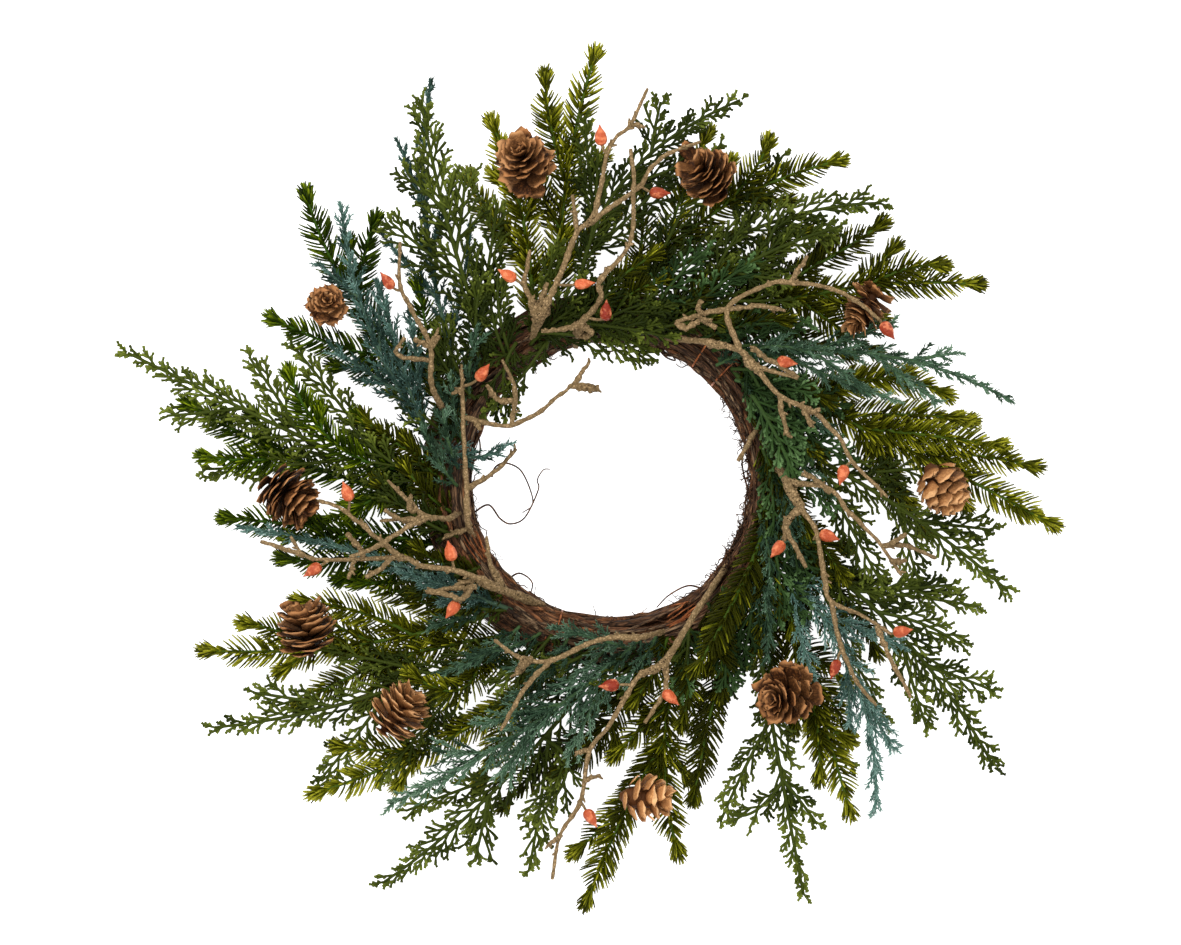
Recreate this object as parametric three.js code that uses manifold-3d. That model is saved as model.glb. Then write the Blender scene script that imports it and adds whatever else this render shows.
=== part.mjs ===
// A fresh evergreen wreath lying on its back, ready to be laid on a table or hung by its ring.
// Millimetres, +Z up; the top of the hanging wreath points along +Y, its front faces up.
import * as THREE from 'three';
import { mergeVertices } from 'three/addons/utils/BufferGeometryUtils.js';
import Module from 'manifold-3d';

const wasm = await Module();
wasm.setup();

// The vine ring: a bundle of twisted stems bent round into a ring that lies on z = 0.
const RING_RADIUS = 105;
const BUNDLE_RADIUS = 15;
const BUNDLE_HEIGHT = 12;
const BUNDLE_SIDES = 10;
const RING_STEPS = 42;
const TWISTS = 3;
const RIDGE = 1.5;
const RIDGE_SWELL = 0.3;
const RIDGE_WAVES = 5;

// The two wires that bind it: where they sit, in degrees clockwise from the top, and how they are wound.
const WIRE = {
  radius: 0.7, clocks: [35, 199], turns: 1.12, start: 0.6, drift: 3.2, lift: 0.4, floor: 0.25, steps: 13,
};

// Clearances between pieces that touch on the real wreath.
const HOLE_GAP = 0.7;
const NEEDLE_GAP = 0.45;
const SEAT_GAP = 0.3;
const FLOOR_GAP = 1.2;
const CONE_GAP = 0.6;

// Where each kind of spray is pushed into the ring, how thick its leader and side shoots are at root
// and tip, how far apart its needles or branchlets stand, and how much shorter they are on a side shoot.
const FIR = { rootRadius: 108, rootHeight: 12, stem: [1.6, 0.9], side: [1.15, 0.7], step: 22, reach: 15.5 };
const CEDAR = { rootRadius: 106, rootHeight: 19, stem: [1.5, 0.8], side: [1.1, 0.7], step: 16 };
const JUNIPER = { rootRadius: 104, rootHeight: 24, stem: [1.5, 0.8], side: [1.1, 0.7], step: 19 };
const SIDE_SHARE = 0.8;

// A needle: how thick and how wide it is, and how far it leans from its stem at the root and at the tip.
const NEEDLE = { radius: 0.75, width: 2.2, foot: 0.16, stagger: 0.45, lean: [0.95, 0.6] };

// A branchlet and the finger on its front edge: their thickness, the branchlet's way out of and along
// its stem, and where the finger ends and is notched, as shares of the branchlet along it and the stem.
const BRANCHLET_FOOT = 0.2;
const FINGER_FOOT = [0.3, 0.06];
const CEDAR_BRANCHLET = {
  radius: 1, finger: 0.8, width: 2.6, way: [0.72, 0.69], front: [0.42, 0.36], notch: [0.55, 0.12],
};
const JUNIPER_BRANCHLET = {
  radius: 0.9, finger: 0.7, width: 2.2, way: [0.75, 0.66], front: [0.4, 0.34], notch: [0.55, 0.1],
};

const TWIG = { base: 2.3, end: 1.2, fork: 0.4 };
const HIP = { length: 15, radius: 4.5, stalk: 0.9, clear: 2, sides: 5 };

// A cone's scales stand in rows of six round a slim core. Their size is given in shares of its radius
// and, along its axis, of its length.
const CONE = {
  columns: 6, rows: 5, length: 36, stalk: 1.6,
  foot: 0.08, span: 0.8, nose: 0.96, neck: 0.12,
  core: [0.2, 0.32], scale: [0.62, 0.38], rise: [-0.02, 0.16], breadth: 0.72, bevel: 0.3,
};

// Places, measured from the ring's centre. Each spray leaves the ring at a clock angle in degrees,
// passes through via and ends at tip; each side shoot starts at a share of its leader.

const firs = [
  { name: 'fir_01', clock: 342, via: [-28, 191, 20], tip: [-8, 278, 34], shoots: [
    { at: 0.5, via: [-39, 232, 27], tip: [-41, 264, 32] },
  ] },
  { name: 'fir_02', clock: 332, via: [-55, 163, 24], tip: [-78, 234, 36], shoots: [
    { at: 0.34, via: [-76, 169, 16], tip: [-92, 200, 18] },
  ] },
  { name: 'fir_03', clock: 4, via: [63, 169, 20], tip: [152, 206, 34], shoots: [
    { at: 0.56, via: [92, 198, 30], tip: [103, 221, 38] },
    { at: 0.3, via: [45, 180, 22], tip: [65, 227, 26] },
  ] },
  { name: 'fir_04', clock: 21, via: [115, 129, 18], tip: [179, 168, 24], shoots: [
    { at: 0.35, via: [99, 145, 26], tip: [133, 161, 30] },
  ] },
  { name: 'fir_05', clock: 29, via: [146, 122, 20], tip: [241, 125, 32], shoots: [
    { at: 0.6, via: [193, 136, 30], tip: [218, 137, 34] },
    { at: 0.36, via: [148, 97, 24], tip: [175, 79, 26] },
  ] },
  { name: 'fir_06', clock: 53, via: [178, 26, 20], tip: [288, -31, 40], shoots: [
    { at: 0.2, via: [173, 65, 22], tip: [221, 52, 26] },
    { at: 0.34, via: [189, 42, 20], tip: [228, 39, 24] },
    { at: 0.42, via: [208, 28, 30], tip: [256, 21, 34] },
    { at: 0.58, via: [240, 15, 34], tip: [277, 7, 40] },
    { at: 0.46, via: [182, -6, 14], tip: [207, -37, 14] },
  ] },
  { name: 'fir_07', clock: 99, via: [152, -76, 16], tip: [173, -116, 18], shoots: [
    { at: 0.22, via: [119, -78, 22], tip: [125, -119, 26] },
  ] },
  { name: 'fir_08', clock: 120, via: [129, -134, 18], tip: [155, -218, 34], shoots: [
    { at: 0.5, via: [134, -170, 27], tip: [134, -196, 28] },
    { at: 0.42, via: [146, -148, 14], tip: [154, -170, 13] },
  ] },
  { name: 'fir_09', clock: 94, via: [84, -67, 46], tip: [52, -125, 50], shoots: [
    { at: 0.4, via: [68, -134, 28], tip: [53, -209, 32] },
  ] },
  { name: 'fir_10', clock: 151, via: [35, -168, 18], tip: [45, -243, 34], shoots: [
    { at: 0.5, via: [10, -212, 27], tip: [-17, -275, 36] },
    { at: 0.56, via: [0, -218, 16], tip: [-27, -242, 18] },
  ] },
  { name: 'fir_11', clock: 167, via: [-6, -165, 16], tip: [-40, -189, 20], shoots: [
    { at: 0.4, via: [-42, -182, 12], tip: [-71, -214, 13] },
  ] },
  { name: 'fir_12', clock: 187, via: [-102, -165, 18], tip: [-194, -202, 34], shoots: [
    { at: 0.6, via: [-154, -173, 28], tip: [-180, -170, 33] },
  ] },
  { name: 'fir_13', clock: 204, via: [-131, -113, 20], tip: [-204, -147, 28], shoots: [
    { at: 0.2, via: [-96, -134, 38], tip: [-131, -121, 48] },
  ] },
  { name: 'fir_14', clock: 219, via: [-166, -106, 24], tip: [-264, -109, 36], shoots: [
    { at: 0.6, via: [-216, -96, 32], tip: [-239, -91, 37] },
    { at: 0.3, via: [-163, -84, 30], tip: [-205, -77, 33] },
  ] },
  { name: 'fir_15', clock: 246, via: [-166, -33, 18], tip: [-252, -24, 26], shoots: [
    { at: 0.35, via: [-176, -51, 13], tip: [-216, -49, 13] },
    { at: 0.42, via: [-182, -37, 28], tip: [-212, -36, 30] },
    { at: 0.2, via: [-141, -63, 12], tip: [-170, -64, 12] },
  ] },
  { name: 'fir_16', clock: 263, via: [-191, 9, 20], tip: [-275, 52, 36], shoots: [
    { at: 0.58, via: [-238, 13, 30], tip: [-265, 16, 34] },
  ] },
  { name: 'fir_17', clock: 274, via: [-170, 19, 40], tip: [-207, 74, 46], shoots: [
    { at: 0.3, via: [-144, 20, 28], tip: [-166, 44, 28] },
  ] },
  { name: 'fir_18', clock: 295, via: [-163, 115, 18], tip: [-196, 189, 34], shoots: [
    { at: 0.5, via: [-157, 147, 28], tip: [-148, 172, 34] },
    { at: 0.25, via: [-172, 85, 24], tip: [-221, 106, 28] },
    { at: 0.12, via: [-118, 96, 22], tip: [-125, 131, 24] },
  ] },
];

const cedars = [
  { name: 'cedar_01', clock: 316, via: [-102, 157, 40], tip: [-121, 244, 44], reach: 26, shoots: [] },
  { name: 'cedar_02', clock: 349, via: [6, 188, 32], tip: [88, 245, 40], reach: 20, shoots: [
    { at: 0.22, via: [-10, 170, 30], tip: [-8, 211, 34] },
  ] },
  { name: 'cedar_03', clock: 359, via: [93, 161, 30], tip: [179, 177, 38], reach: 22, shoots: [] },
  { name: 'cedar_04', clock: 16, via: [90, 140, 38], tip: [150, 163, 42], reach: 18, shoots: [] },
  { name: 'cedar_05', clock: 338, via: [-6, 95, 40], tip: [26, 82, 36], reach: 14, shoots: [
    { at: 0.08, via: [-61, 61, 34], tip: [-84, 41, 34] },
  ] },
  { name: 'cedar_06', clock: 47, via: [101, 38, 46], tip: [120, -3, 48], reach: 20, shoots: [] },
  { name: 'cedar_07', clock: 74, via: [186, -18, 30], tip: [258, -74, 38], reach: 22, shoots: [] },
  { name: 'cedar_08', clock: 108, via: [184, -97, 30], tip: [248, -188, 40], reach: 22, shoots: [
    { at: 0.3, via: [179, -70, 24], tip: [221, -67, 28] },
    { at: 0.42, via: [202, -93, 36], tip: [228, -108, 40] },
  ] },
  { name: 'cedar_09', clock: 124, via: [106, -168, 30], tip: [125, -271, 38], reach: 22, shoots: [
    { at: 0.62, via: [93, -212, 34], tip: [77, -214, 36] },
  ] },
  { name: 'cedar_10', clock: 178, via: [-70, -195, 26], tip: [-150, -261, 36], reach: 22, shoots: [
    { at: 0.32, via: [-28, -187, 32], tip: [-50, -219, 32] },
  ] },
  { name: 'cedar_11', clock: 207, via: [-152, -138, 32], tip: [-259, -159, 38], reach: 20, shoots: [] },
  { name: 'cedar_12', clock: 261, via: [-205, 31, 32], tip: [-314, 84, 42], reach: 22, shoots: [] },
];

const junipers = [
  { name: 'juniper_01', clock: 298, via: [-118, 165, 28], tip: [-113, 262, 32], reach: 14, shoots: [] },
  { name: 'juniper_02', clock: 277, via: [-152, 93, 44], tip: [-172, 180, 48], reach: 22, shoots: [
    { at: 0.15, via: [-134, 76, 50], tip: [-148, 128, 52] },
    { at: 0.04, via: [-82, 15, 40], tip: [-65, 24, 42] },
  ] },
  { name: 'juniper_03', clock: 42, via: [173, 80, 46], tip: [262, 47, 48], reach: 16, shoots: [
    { at: 0.06, via: [122, 83, 54], tip: [166, 54, 54] },
  ] },
  { name: 'juniper_04', clock: 113, via: [155, -123, 44], tip: [169, -216, 48], reach: 16, shoots: [] },
  { name: 'juniper_05', clock: 167, via: [-63, -165, 46], tip: [-145, -209, 48], reach: 26, shoots: [
    { at: 0.05, via: [-8, -102, 44], tip: [-37, -94, 42] },
  ] },
  { name: 'juniper_06', clock: 216, via: [-102, -69, 44], tip: [-137, -58, 44], reach: 14, shoots: [
    { at: 0.3, via: [-166, -45, 36], tip: [-243, -30, 34] },
  ] },
];

const twigs = [
  { name: 'twig_01', branches: [
    [
      [-51, 86, 16], [-45, 104, 50], [-32, 131, 60], [-21, 157, 62], [-12, 165, 62],
      [-6, 186, 62], [-2, 208, 62], [4, 219, 60], [13, 227, 60], [24, 250, 58],
    ],
    [[-12, 165, 62], [18, 187, 62], [32, 205, 62], [58, 216, 60]],
    [[-21, 157, 62], [-24, 182, 60]],
    [[-45, 104, 50], [-54, 124, 58], [-51, 147, 60]],
    [[13, 227, 60], [22, 225, 58]],
  ], hips: [
    [[-2, 208, 62], [-6, 220, 63]],
    [[19, 188, 62], [32, 183, 63]],
    [[-54, 124, 58], [-66, 131, 60]],
  ] },
  { name: 'twig_02', branches: [
    [
      [-22, 86, 18], [-19, 99, 54], [-6, 115, 68], [-6, 127, 70],
      [12, 150, 71], [15, 186, 71], [13, 211, 68],
    ],
    [[-19, 99, 54], [-32, 96, 58], [-44, 95, 58]],
  ], hips: [
    [[-6, 122, 69], [-16, 125, 70]],
    [[-6, 115, 68], [-3, 109, 72]],
  ] },
  { name: 'twig_03', branches: [
    [[-101, 35, 14], [-113, 59, 54], [-115, 86, 60], [-127, 109, 62], [-134, 125, 62], [-134, 152, 60]],
    [[-113, 76, 58], [-136, 80, 62], [-131, 91, 62]],
    [[-115, 86, 60], [-110, 94, 62]],
  ], hips: [
    [[-134, 125, 62], [-141, 127, 63]],
  ] },
  { name: 'twig_04', branches: [
    [[-88, -38, 16], [-91, -26, 37], [-92, -6, 38], [-94, 42, 39], [-95, 74, 42]],
    [[-93, 40, 39], [-63, 35, 42], [-32, 54, 44], [-23, 61, 44], [-7, 58, 42]],
    [[-23, 61, 44], [-13, 76, 44]],
    [[-63, 35, 42], [-61, 58, 42], [-69, 77, 42]],
    [[-92, -6, 38], [-73, 6, 36], [-60, 20, 34]],
    [[-94, 59, 40], [-101, 55, 46]],
  ], hips: [
    [[-95, 74, 42], [-81, 69, 47]],
  ] },
  { name: 'twig_05', branches: [
    [
      [-42, -81, 14], [-69, -70, 46], [-99, -58, 60], [-122, -54, 62],
      [-134, -49, 63], [-179, -51, 62], [-195, -48, 60], [-204, -36, 58],
    ],
    [[-134, -49, 63], [-154, -32, 64], [-172, -18, 64], [-186, -13, 64]],
    [[-86, -63, 54], [-102, -69, 58], [-118, -71, 60]],
    [[-195, -48, 60], [-223, -39, 58]],
    [[-163, -51, 62], [-167, -63, 60]],
    [[-69, -70, 46], [-77, -51, 42], [-79, -36, 41]],
  ], hips: [
    [[-172, -18, 64], [-168, -7, 65]],
    [[-179, -51, 62], [-190, -58, 63]],
    [[-99, -58, 60], [-102, -45, 62]],
    [[-86, -63, 54], [-101, -83, 59]],
  ] },
  { name: 'twig_06', branches: [
    [[-95, -20, 15], [-105, -25, 48], [-118, -24, 60], [-147, -26, 60]],
    [[-118, -24, 60], [-134, -33, 70], [-152, -44, 72], [-166, -49, 70]],
    [[-118, -24, 60], [-142, 0, 62]],
  ], hips: [] },
  { name: 'twig_07', branches: [
    [
      [79, -49, 14], [58, -80, 40], [35, -115, 60], [19, -125, 62], [10, -138, 62],
      [-1, -157, 62], [-13, -172, 62], [-19, -205, 60], [-32, -227, 58], [-37, -255, 56],
    ],
    [[35, -115, 60], [35, -134, 62], [22, -155, 62]],
    [[-13, -172, 62], [-22, -174, 60]],
    [[-17, -192, 61], [-6, -188, 60]],
  ], hips: [
    [[10, -138, 62], [-1, -131, 64]],
    [[35, -128, 61], [39, -139, 64]],
    [[-19, -205, 60], [-12, -216, 61]],
  ] },
  { name: 'twig_08', branches: [
    [[42, -96, 14], [20, -100, 48], [-6, -102, 54], [-38, -115, 60], [-58, -113, 60], [-74, -102, 58]],
    [[-38, -115, 60], [-55, -134, 62], [-70, -160, 62]],
  ], hips: [] },
  { name: 'twig_09', branches: [
    [[27, 92, 14], [58, 89, 46], [83, 82, 58], [92, 73, 62], [120, 65, 60]],
    [[92, 73, 62], [108, 54, 62], [129, 44, 62], [147, 26, 63], [154, 12, 63], [177, -11, 62]],
    [
      [83, 82, 58], [75, 109, 60], [99, 124, 62], [115, 126, 62],
      [141, 122, 65], [157, 114, 66], [172, 102, 64],
    ],
    [[75, 109, 60], [58, 106, 58], [42, 101, 54]],
    [[75, 109, 60], [96, 111, 60], [112, 108, 60]],
    [[115, 126, 62], [126, 143, 60]],
    [[108, 54, 62], [112, 32, 60], [116, 27, 58]],
  ], hips: [
    [[120, 65, 60], [113, 75, 62]],
    [[172, 102, 64], [175, 98, 64]],
    [[154, 12, 63], [148, 3, 65]],
  ] },
  { name: 'twig_10', branches: [
    [
      [105, 15, 14], [113, -1, 50], [122, -18, 58], [131, -33, 62],
      [136, -64, 62], [141, -77, 62], [160, -86, 60], [179, -98, 58],
    ],
    [[141, -77, 62], [146, -102, 60], [157, -128, 60], [170, -144, 58]],
    [[122, -18, 58], [112, -27, 56], [112, -38, 56]],
    [[113, -1, 50], [140, -6, 62], [154, -22, 63], [173, -42, 60], [186, -61, 58]],
    [[173, -42, 60], [189, -42, 60], [208, -50, 58]],
    [[170, -93, 59], [178, -112, 58], [192, -139, 56]],
  ], hips: [
    [[131, -33, 62], [140, -36, 64]],
    [[112, -38, 56], [107, -44, 58]],
    [[179, -98, 58], [184, -97, 60]],
    [[148, -108, 60], [143, -121, 61]],
  ] },
];

const cones = [
  { name: 'cone_01', base: [-50, 195, 44], tip: [-58, 210, 68], radius: 15.4 },
  { name: 'cone_02', base: [72, 188, 44], tip: [54, 202, 60], radius: 16.0 },
  { name: 'cone_03', base: [170, 120, 38], tip: [155, 99, 46], radius: 12.8 },
  { name: 'cone_04', base: [201, 12, 52], tip: [225, -22, 50], radius: 14.1 },
  { name: 'cone_05', base: [122, -134, 44], tip: [102, -140, 66], radius: 17.3 },
  { name: 'cone_06', base: [8, -202, 48], tip: [40, -205, 54], radius: 14.1 },
  { name: 'cone_07', base: [-147, -163, 46], tip: [-124, -134, 54], radius: 16.0 },
  { name: 'cone_08', base: [-191, -113, 46], tip: [-197, -79, 54], radius: 16.0 },
  { name: 'cone_09', base: [-219, 1, 46], tip: [-193, -20, 56], radius: 16.6 },
  { name: 'cone_10', base: [-182, 109, 40], tip: [-180, 116, 66], radius: 12.2 },
];

// Random numbers that are the same on each run: one stream for each piece.
function randomFrom(seed) {
  let state = seed * 2654435761 % 4294967296;
  return () => {
    state = (state + 0x6d2b79f5) % 4294967296;
    let mixed = Math.imul(state ^ (state >>> 15), 1 | state);
    mixed = (mixed + Math.imul(mixed ^ (mixed >>> 7), 61 | mixed)) ^ mixed;
    return ((mixed ^ (mixed >>> 14)) >>> 0) / 4294967296;
  };
}

const vec = (x, y, z) => new THREE.Vector3(x, y, z);
const place = (p) => vec(p[0], p[1], p[2]);
const lerp = THREE.MathUtils.lerp;

// A point on the ring's centreline, or beside it, at a clock angle seen from the front.
function onRing(clock, radius, height) {
  const angle = THREE.MathUtils.degToRad(clock);
  return vec(radius * Math.sin(angle), radius * Math.cos(angle), height);
}

// A parabola from root to tip that passes through via halfway.
function bend(root, via, tip) {
  const control = via.clone().multiplyScalar(2).addScaledVector(root, -0.5).addScaledVector(tip, -0.5);
  return new THREE.QuadraticBezierCurve3(root, control, tip);
}

// Solids.

function solidOf(positions, triangles) {
  const numbers = positions.flatMap((p) => p.toArray());
  const geometry = new THREE.BufferGeometry();
  geometry.setAttribute('position', new THREE.Float32BufferAttribute(numbers, 3));
  geometry.setIndex(triangles.flat());
  const merged = mergeVertices(geometry, 1e-4);
  const mesh = new wasm.Mesh({
    numProp: 3,
    vertProperties: merged.attributes.position.array,
    triVerts: new Uint32Array(merged.index.array),
  });
  return new wasm.Manifold(mesh);
}

function union(solids) {
  return solids.reduce((joined, solid) => joined.add(solid));
}

// The body that is left when loose scraps are dropped.
function largestBody(solid) {
  return solid.decompose().reduce((best, body) => (body.volume() > best.volume() ? body : best));
}

// Directions across a path at each of its points, carried along without twisting.
function framesAlong(points) {
  const frames = [];
  let side = null;
  points.forEach((point, i) => {
    const before = points[Math.max(i - 1, 0)];
    const after = points[Math.min(i + 1, points.length - 1)];
    const forward = after.clone().sub(before).normalize();
    if (!side) side = Math.abs(forward.z) > 0.95 ? vec(1, 0, 0) : vec(0, 0, 1).cross(forward);
    side = side.clone().addScaledVector(forward, -side.dot(forward)).normalize();
    frames.push({ forward, side, up: forward.clone().cross(side) });
  });
  return frames;
}

// The corners of a section with the given number of sides round a point of a path.
function sectionAt(point, frame, radius, sides, turn = 0) {
  return Array.from({ length: sides }, (_, k) => {
    const angle = turn + (2 * Math.PI * k) / sides;
    return point.clone()
      .addScaledVector(frame.side, radius * Math.cos(angle))
      .addScaledVector(frame.up, radius * Math.sin(angle));
  });
}

// A rod along points with its radius at each one, closed by flat ends.
function rodWith(points, frames, radii, sides, turn) {
  const positions = points.flatMap((p, i) => sectionAt(p, frames[i], radii[i], sides, turn));
  const triangles = [];
  for (let i = 0; i < points.length - 1; i++) {
    for (let k = 0; k < sides; k++) {
      const a = i * sides + k;
      const b = i * sides + ((k + 1) % sides);
      triangles.push([a, b, b + sides], [a, b + sides, a + sides]);
    }
  }
  const last = (points.length - 1) * sides;
  for (let k = 1; k < sides - 1; k++) {
    triangles.push([0, k + 1, k], [last, last + k, last + k + 1]);
  }
  return solidOf(positions, triangles);
}

function rod(points, radii, sides, turn = 0) {
  return rodWith(points, framesAlong(points), radii, sides, turn);
}

// Clearance. Every stem, needle, cone and hip is kept as a capsule: a line with a radius.

const capsules = [];

function addCapsule(owner, from, to, radius, part = owner) {
  const middle = from.clone().add(to).multiplyScalar(0.5);
  capsules.push({ owner, part, from, to, radius, middle, reach: from.distanceTo(to) / 2 + radius });
}

// The shortest distance between the straight lines p to q and u to v, ends included.
function distanceBetween(p, q, u, v) {
  const d1 = q.clone().sub(p);
  const d2 = v.clone().sub(u);
  const r = p.clone().sub(u);
  const a = d1.lengthSq();
  const e = d2.lengthSq();
  const b = d1.dot(d2);
  const c = d1.dot(r);
  const f = d2.dot(r);
  const clamp = (x) => Math.min(Math.max(x, 0), 1);
  const across = a * e - b * b;
  let s = across > 1e-9 ? clamp((b * f - c * e) / across) : 0;
  let t = e > 1e-9 ? (b * s + f) / e : 0;
  if (t < 0 || t > 1) {
    t = clamp(t);
    s = a > 1e-9 ? clamp((b * t - c) / a) : 0;
  }
  return r.addScaledVector(d1, s).addScaledVector(d2, -t).length();
}

// True when a line of this radius keeps clear of all that is in place but its own part's base.
function isClear(from, to, radius, owner, part) {
  const middle = from.clone().add(to).multiplyScalar(0.5);
  const reach = from.distanceTo(to) / 2 + radius + NEEDLE_GAP;
  for (const c of capsules) {
    if (c.part === part + ' stem' || c.middle.distanceTo(middle) > reach + c.reach) continue;
    const gap = c.owner === owner ? 0 : NEEDLE_GAP;
    if (distanceBetween(from, to, c.from, c.to) < radius + c.radius + gap) return false;
  }
  for (let i = 0; i <= 4; i++) {
    const p = from.clone().lerp(to, i / 4);
    if (p.z < FLOOR_GAP + radius || ringDistance(p) < radius + NEEDLE_GAP) return false;
  }
  return true;
}

// How far a point lies outside the ring's bundle.
function ringDistance(p) {
  const out = Math.hypot(p.x, p.y) - RING_RADIUS;
  return Math.hypot(out, p.z - BUNDLE_HEIGHT) - BUNDLE_RADIUS - RIDGE;
}

// Shoots: a slim three-sided core whose faces are drawn out into needles or scaly branchlets.

const CORE_SIDES = 3;
const CORE_TURN = Math.PI / 2;
const CROWDING = 0.93;

// The stations of a shoot: where its core has corners, closer together at its tuft.
function stationsOf(name, curve, radii, step) {
  const count = Math.max(3, Math.round(curve.getLength() / step));
  const points = Array.from({ length: count + 1 }, (_, i) => curve.getPointAt((i / count) ** CROWDING));
  return { name, points, radii: points.map((_, i) => lerp(radii[0], radii[1], i / count)) };
}

function addStem(owner, { name, points, radii }) {
  const last = points.length - 2;
  for (let i = 0; i <= last; i++) {
    const radius = i === last ? 0.6 * radii[i] : radii[i];
    addCapsule(owner, points[i], points[i + 1], radius, name + ' stem');
  }
}

// Draws the corner m of the face a, b, m out to a tip, with notched fingers along its front edge.
function drawOut(positions, triangles, a, b, m, tip, fingers) {
  const edge = [m];
  fingers.forEach((finger) => {
    edge.push(positions.push(finger.tip) - 1, positions.push(finger.notch) - 1);
  });
  edge.push(positions.push(tip) - 1);
  const end = edge[edge.length - 1];
  triangles.push([a, b, end]);
  for (let i = 0; i < edge.length - 1; i++) {
    triangles.push([b, edge[i], edge[i + 1]], [a, edge[i + 1], edge[i]]);
  }
}

// One shoot. outgrowth(i, k, base, frame, share) gives a needle's tip and fingers, or null.
function shoot(stations, outgrowth) {
  const { points, radii } = stations;
  const frames = framesAlong(points);
  const count = points.length - 1;
  const positions = points.slice(0, count)
    .flatMap((p, i) => sectionAt(p, frames[i], radii[i], CORE_SIDES, CORE_TURN));
  const end = positions.push(points[count]) - 1;
  const triangles = [[0, 2, 1]];
  for (let i = 0; i < count; i++) {
    for (let k = 0; k < CORE_SIDES; k++) {
      const a = i * CORE_SIDES + k;
      const b = i * CORE_SIDES + ((k + 1) % CORE_SIDES);
      if (i === count - 1) {
        triangles.push([a, b, end]);
        continue;
      }
      const [c, d] = [b + CORE_SIDES, a + CORE_SIDES];
      const heel = positions[a].clone().add(positions[b]).multiplyScalar(0.5);
      const toe = positions[c].clone().add(positions[d]).multiplyScalar(0.5);
      const grown = outgrowth(i, k, { heel, toe }, frames[i], i / count);
      if (!grown) {
        triangles.push([a, b, c], [a, c, d]);
        continue;
      }
      const m = positions.push(heel.clone().lerp(toe, grown.width / heel.distanceTo(toe))) - 1;
      drawOut(positions, triangles, a, b, m, grown.tip, grown.fingers);
      triangles.push([b, c, m], [c, d, m], [d, a, m]);
    }
  }
  return solidOf(positions, triangles);
}

// The direction out of face k of a shoot's core, turned round the stem by an angle.
function faceDirection(frame, k, turn) {
  const angle = CORE_TURN + ((k + 0.5) * 2 * Math.PI) / CORE_SIDES + turn;
  return frame.side.clone().multiplyScalar(Math.cos(angle)).addScaledVector(frame.up, Math.sin(angle));
}

// Ways to try one after another until one is clear: a turn round the stem, or a lift, with a length.
const NEEDLE_TRIES = [[0, 1], [0.6, 1], [-0.6, 1], [0, 0.72], [0.5, 0.6], [-0.5, 0.6]];
const CEDAR_TRIES = [[0, 1], [0.2, 1], [-0.2, 1], [0, 0.7], [0.3, 0.7], [-0.3, 0.7], [0, 0.45]];
const JUNIPER_TRIES = [[0, 1], [0.5, 1], [-0.5, 1], [0, 0.7], [0.4, 0.5], [-0.4, 0.5]];

// A fir needle: straight and leaning forward.
function firNeedle(owner, part, random, length) {
  return (i, k, base, frame, share) => {
    const stagger = (i % 2 ? NEEDLE.stagger : -NEEDLE.stagger) + 0.3 * (random() - 0.5);
    const grow = length * lerp(1, 0.8, share ** 4) * (0.9 + 0.2 * random());
    const lean = lerp(NEEDLE.lean[0], NEEDLE.lean[1], share ** 3) + 0.15 * (random() - 0.5);
    for (const [turn, scale] of NEEDLE_TRIES) {
      const way = faceDirection(frame, k, stagger + turn).multiplyScalar(Math.sin(lean))
        .addScaledVector(frame.forward, Math.cos(lean));
      const tip = base.heel.clone().addScaledVector(way, grow * scale);
      const foot = base.heel.clone().lerp(tip, NEEDLE.foot);
      if (isClear(foot, tip, NEEDLE.radius, owner, part)) {
        addCapsule(owner, foot, tip, NEEDLE.radius, part);
        return { tip, fingers: [], width: NEEDLE.width };
      }
    }
    return null;
  };
}

// A branchlet from its heel along its way, with a finger on its front edge; null where it isn't clear.
function grownBranchlet(owner, part, { heel, forward, way, long }, form, hasFinger) {
  const at = ([along, ahead]) => heel.clone()
    .addScaledVector(way, along * long)
    .addScaledVector(forward, ahead * long);
  const tip = heel.clone().addScaledVector(way, long);
  const foot = heel.clone().lerp(tip, BRANCHLET_FOOT);
  const [root, front] = [at(FINGER_FOOT), at(form.front)];
  if (!isClear(foot, tip, form.radius, owner, part)) return null;
  if (!isClear(root, front, form.finger, owner, part)) return null;
  addCapsule(owner, foot, tip, form.radius, part);
  addCapsule(owner, root, front, form.finger, part);
  const fingers = hasFinger ? [{ tip: front, notch: at(form.notch) }] : [];
  return { tip, fingers, width: form.width };
}

// A flat branchlet of cedar on each side of the frond, two out of three with a finger.
function cedarBranchlet(owner, part, random, reach) {
  return (i, k, base, frame, share) => {
    if (k === 1) return null;
    const side = faceDirection(frame, k, 0);
    side.addScaledVector(frame.up, -side.dot(frame.up)).normalize();
    const grow = reach * lerp(1, 0.45, share ** 1.5) * (0.85 + 0.3 * random());
    const droop = 0.12 * (random() - 0.6);
    for (const [lift, scale] of CEDAR_TRIES) {
      const way = side.clone().multiplyScalar(CEDAR_BRANCHLET.way[0])
        .addScaledVector(frame.forward, CEDAR_BRANCHLET.way[1])
        .addScaledVector(frame.up, droop + lift);
      const line = { heel: base.heel, forward: frame.forward, way, long: grow * scale };
      const grown = grownBranchlet(owner, part, line, CEDAR_BRANCHLET, i % 3 !== 0);
      if (grown) return grown;
    }
    return null;
  };
}

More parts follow.
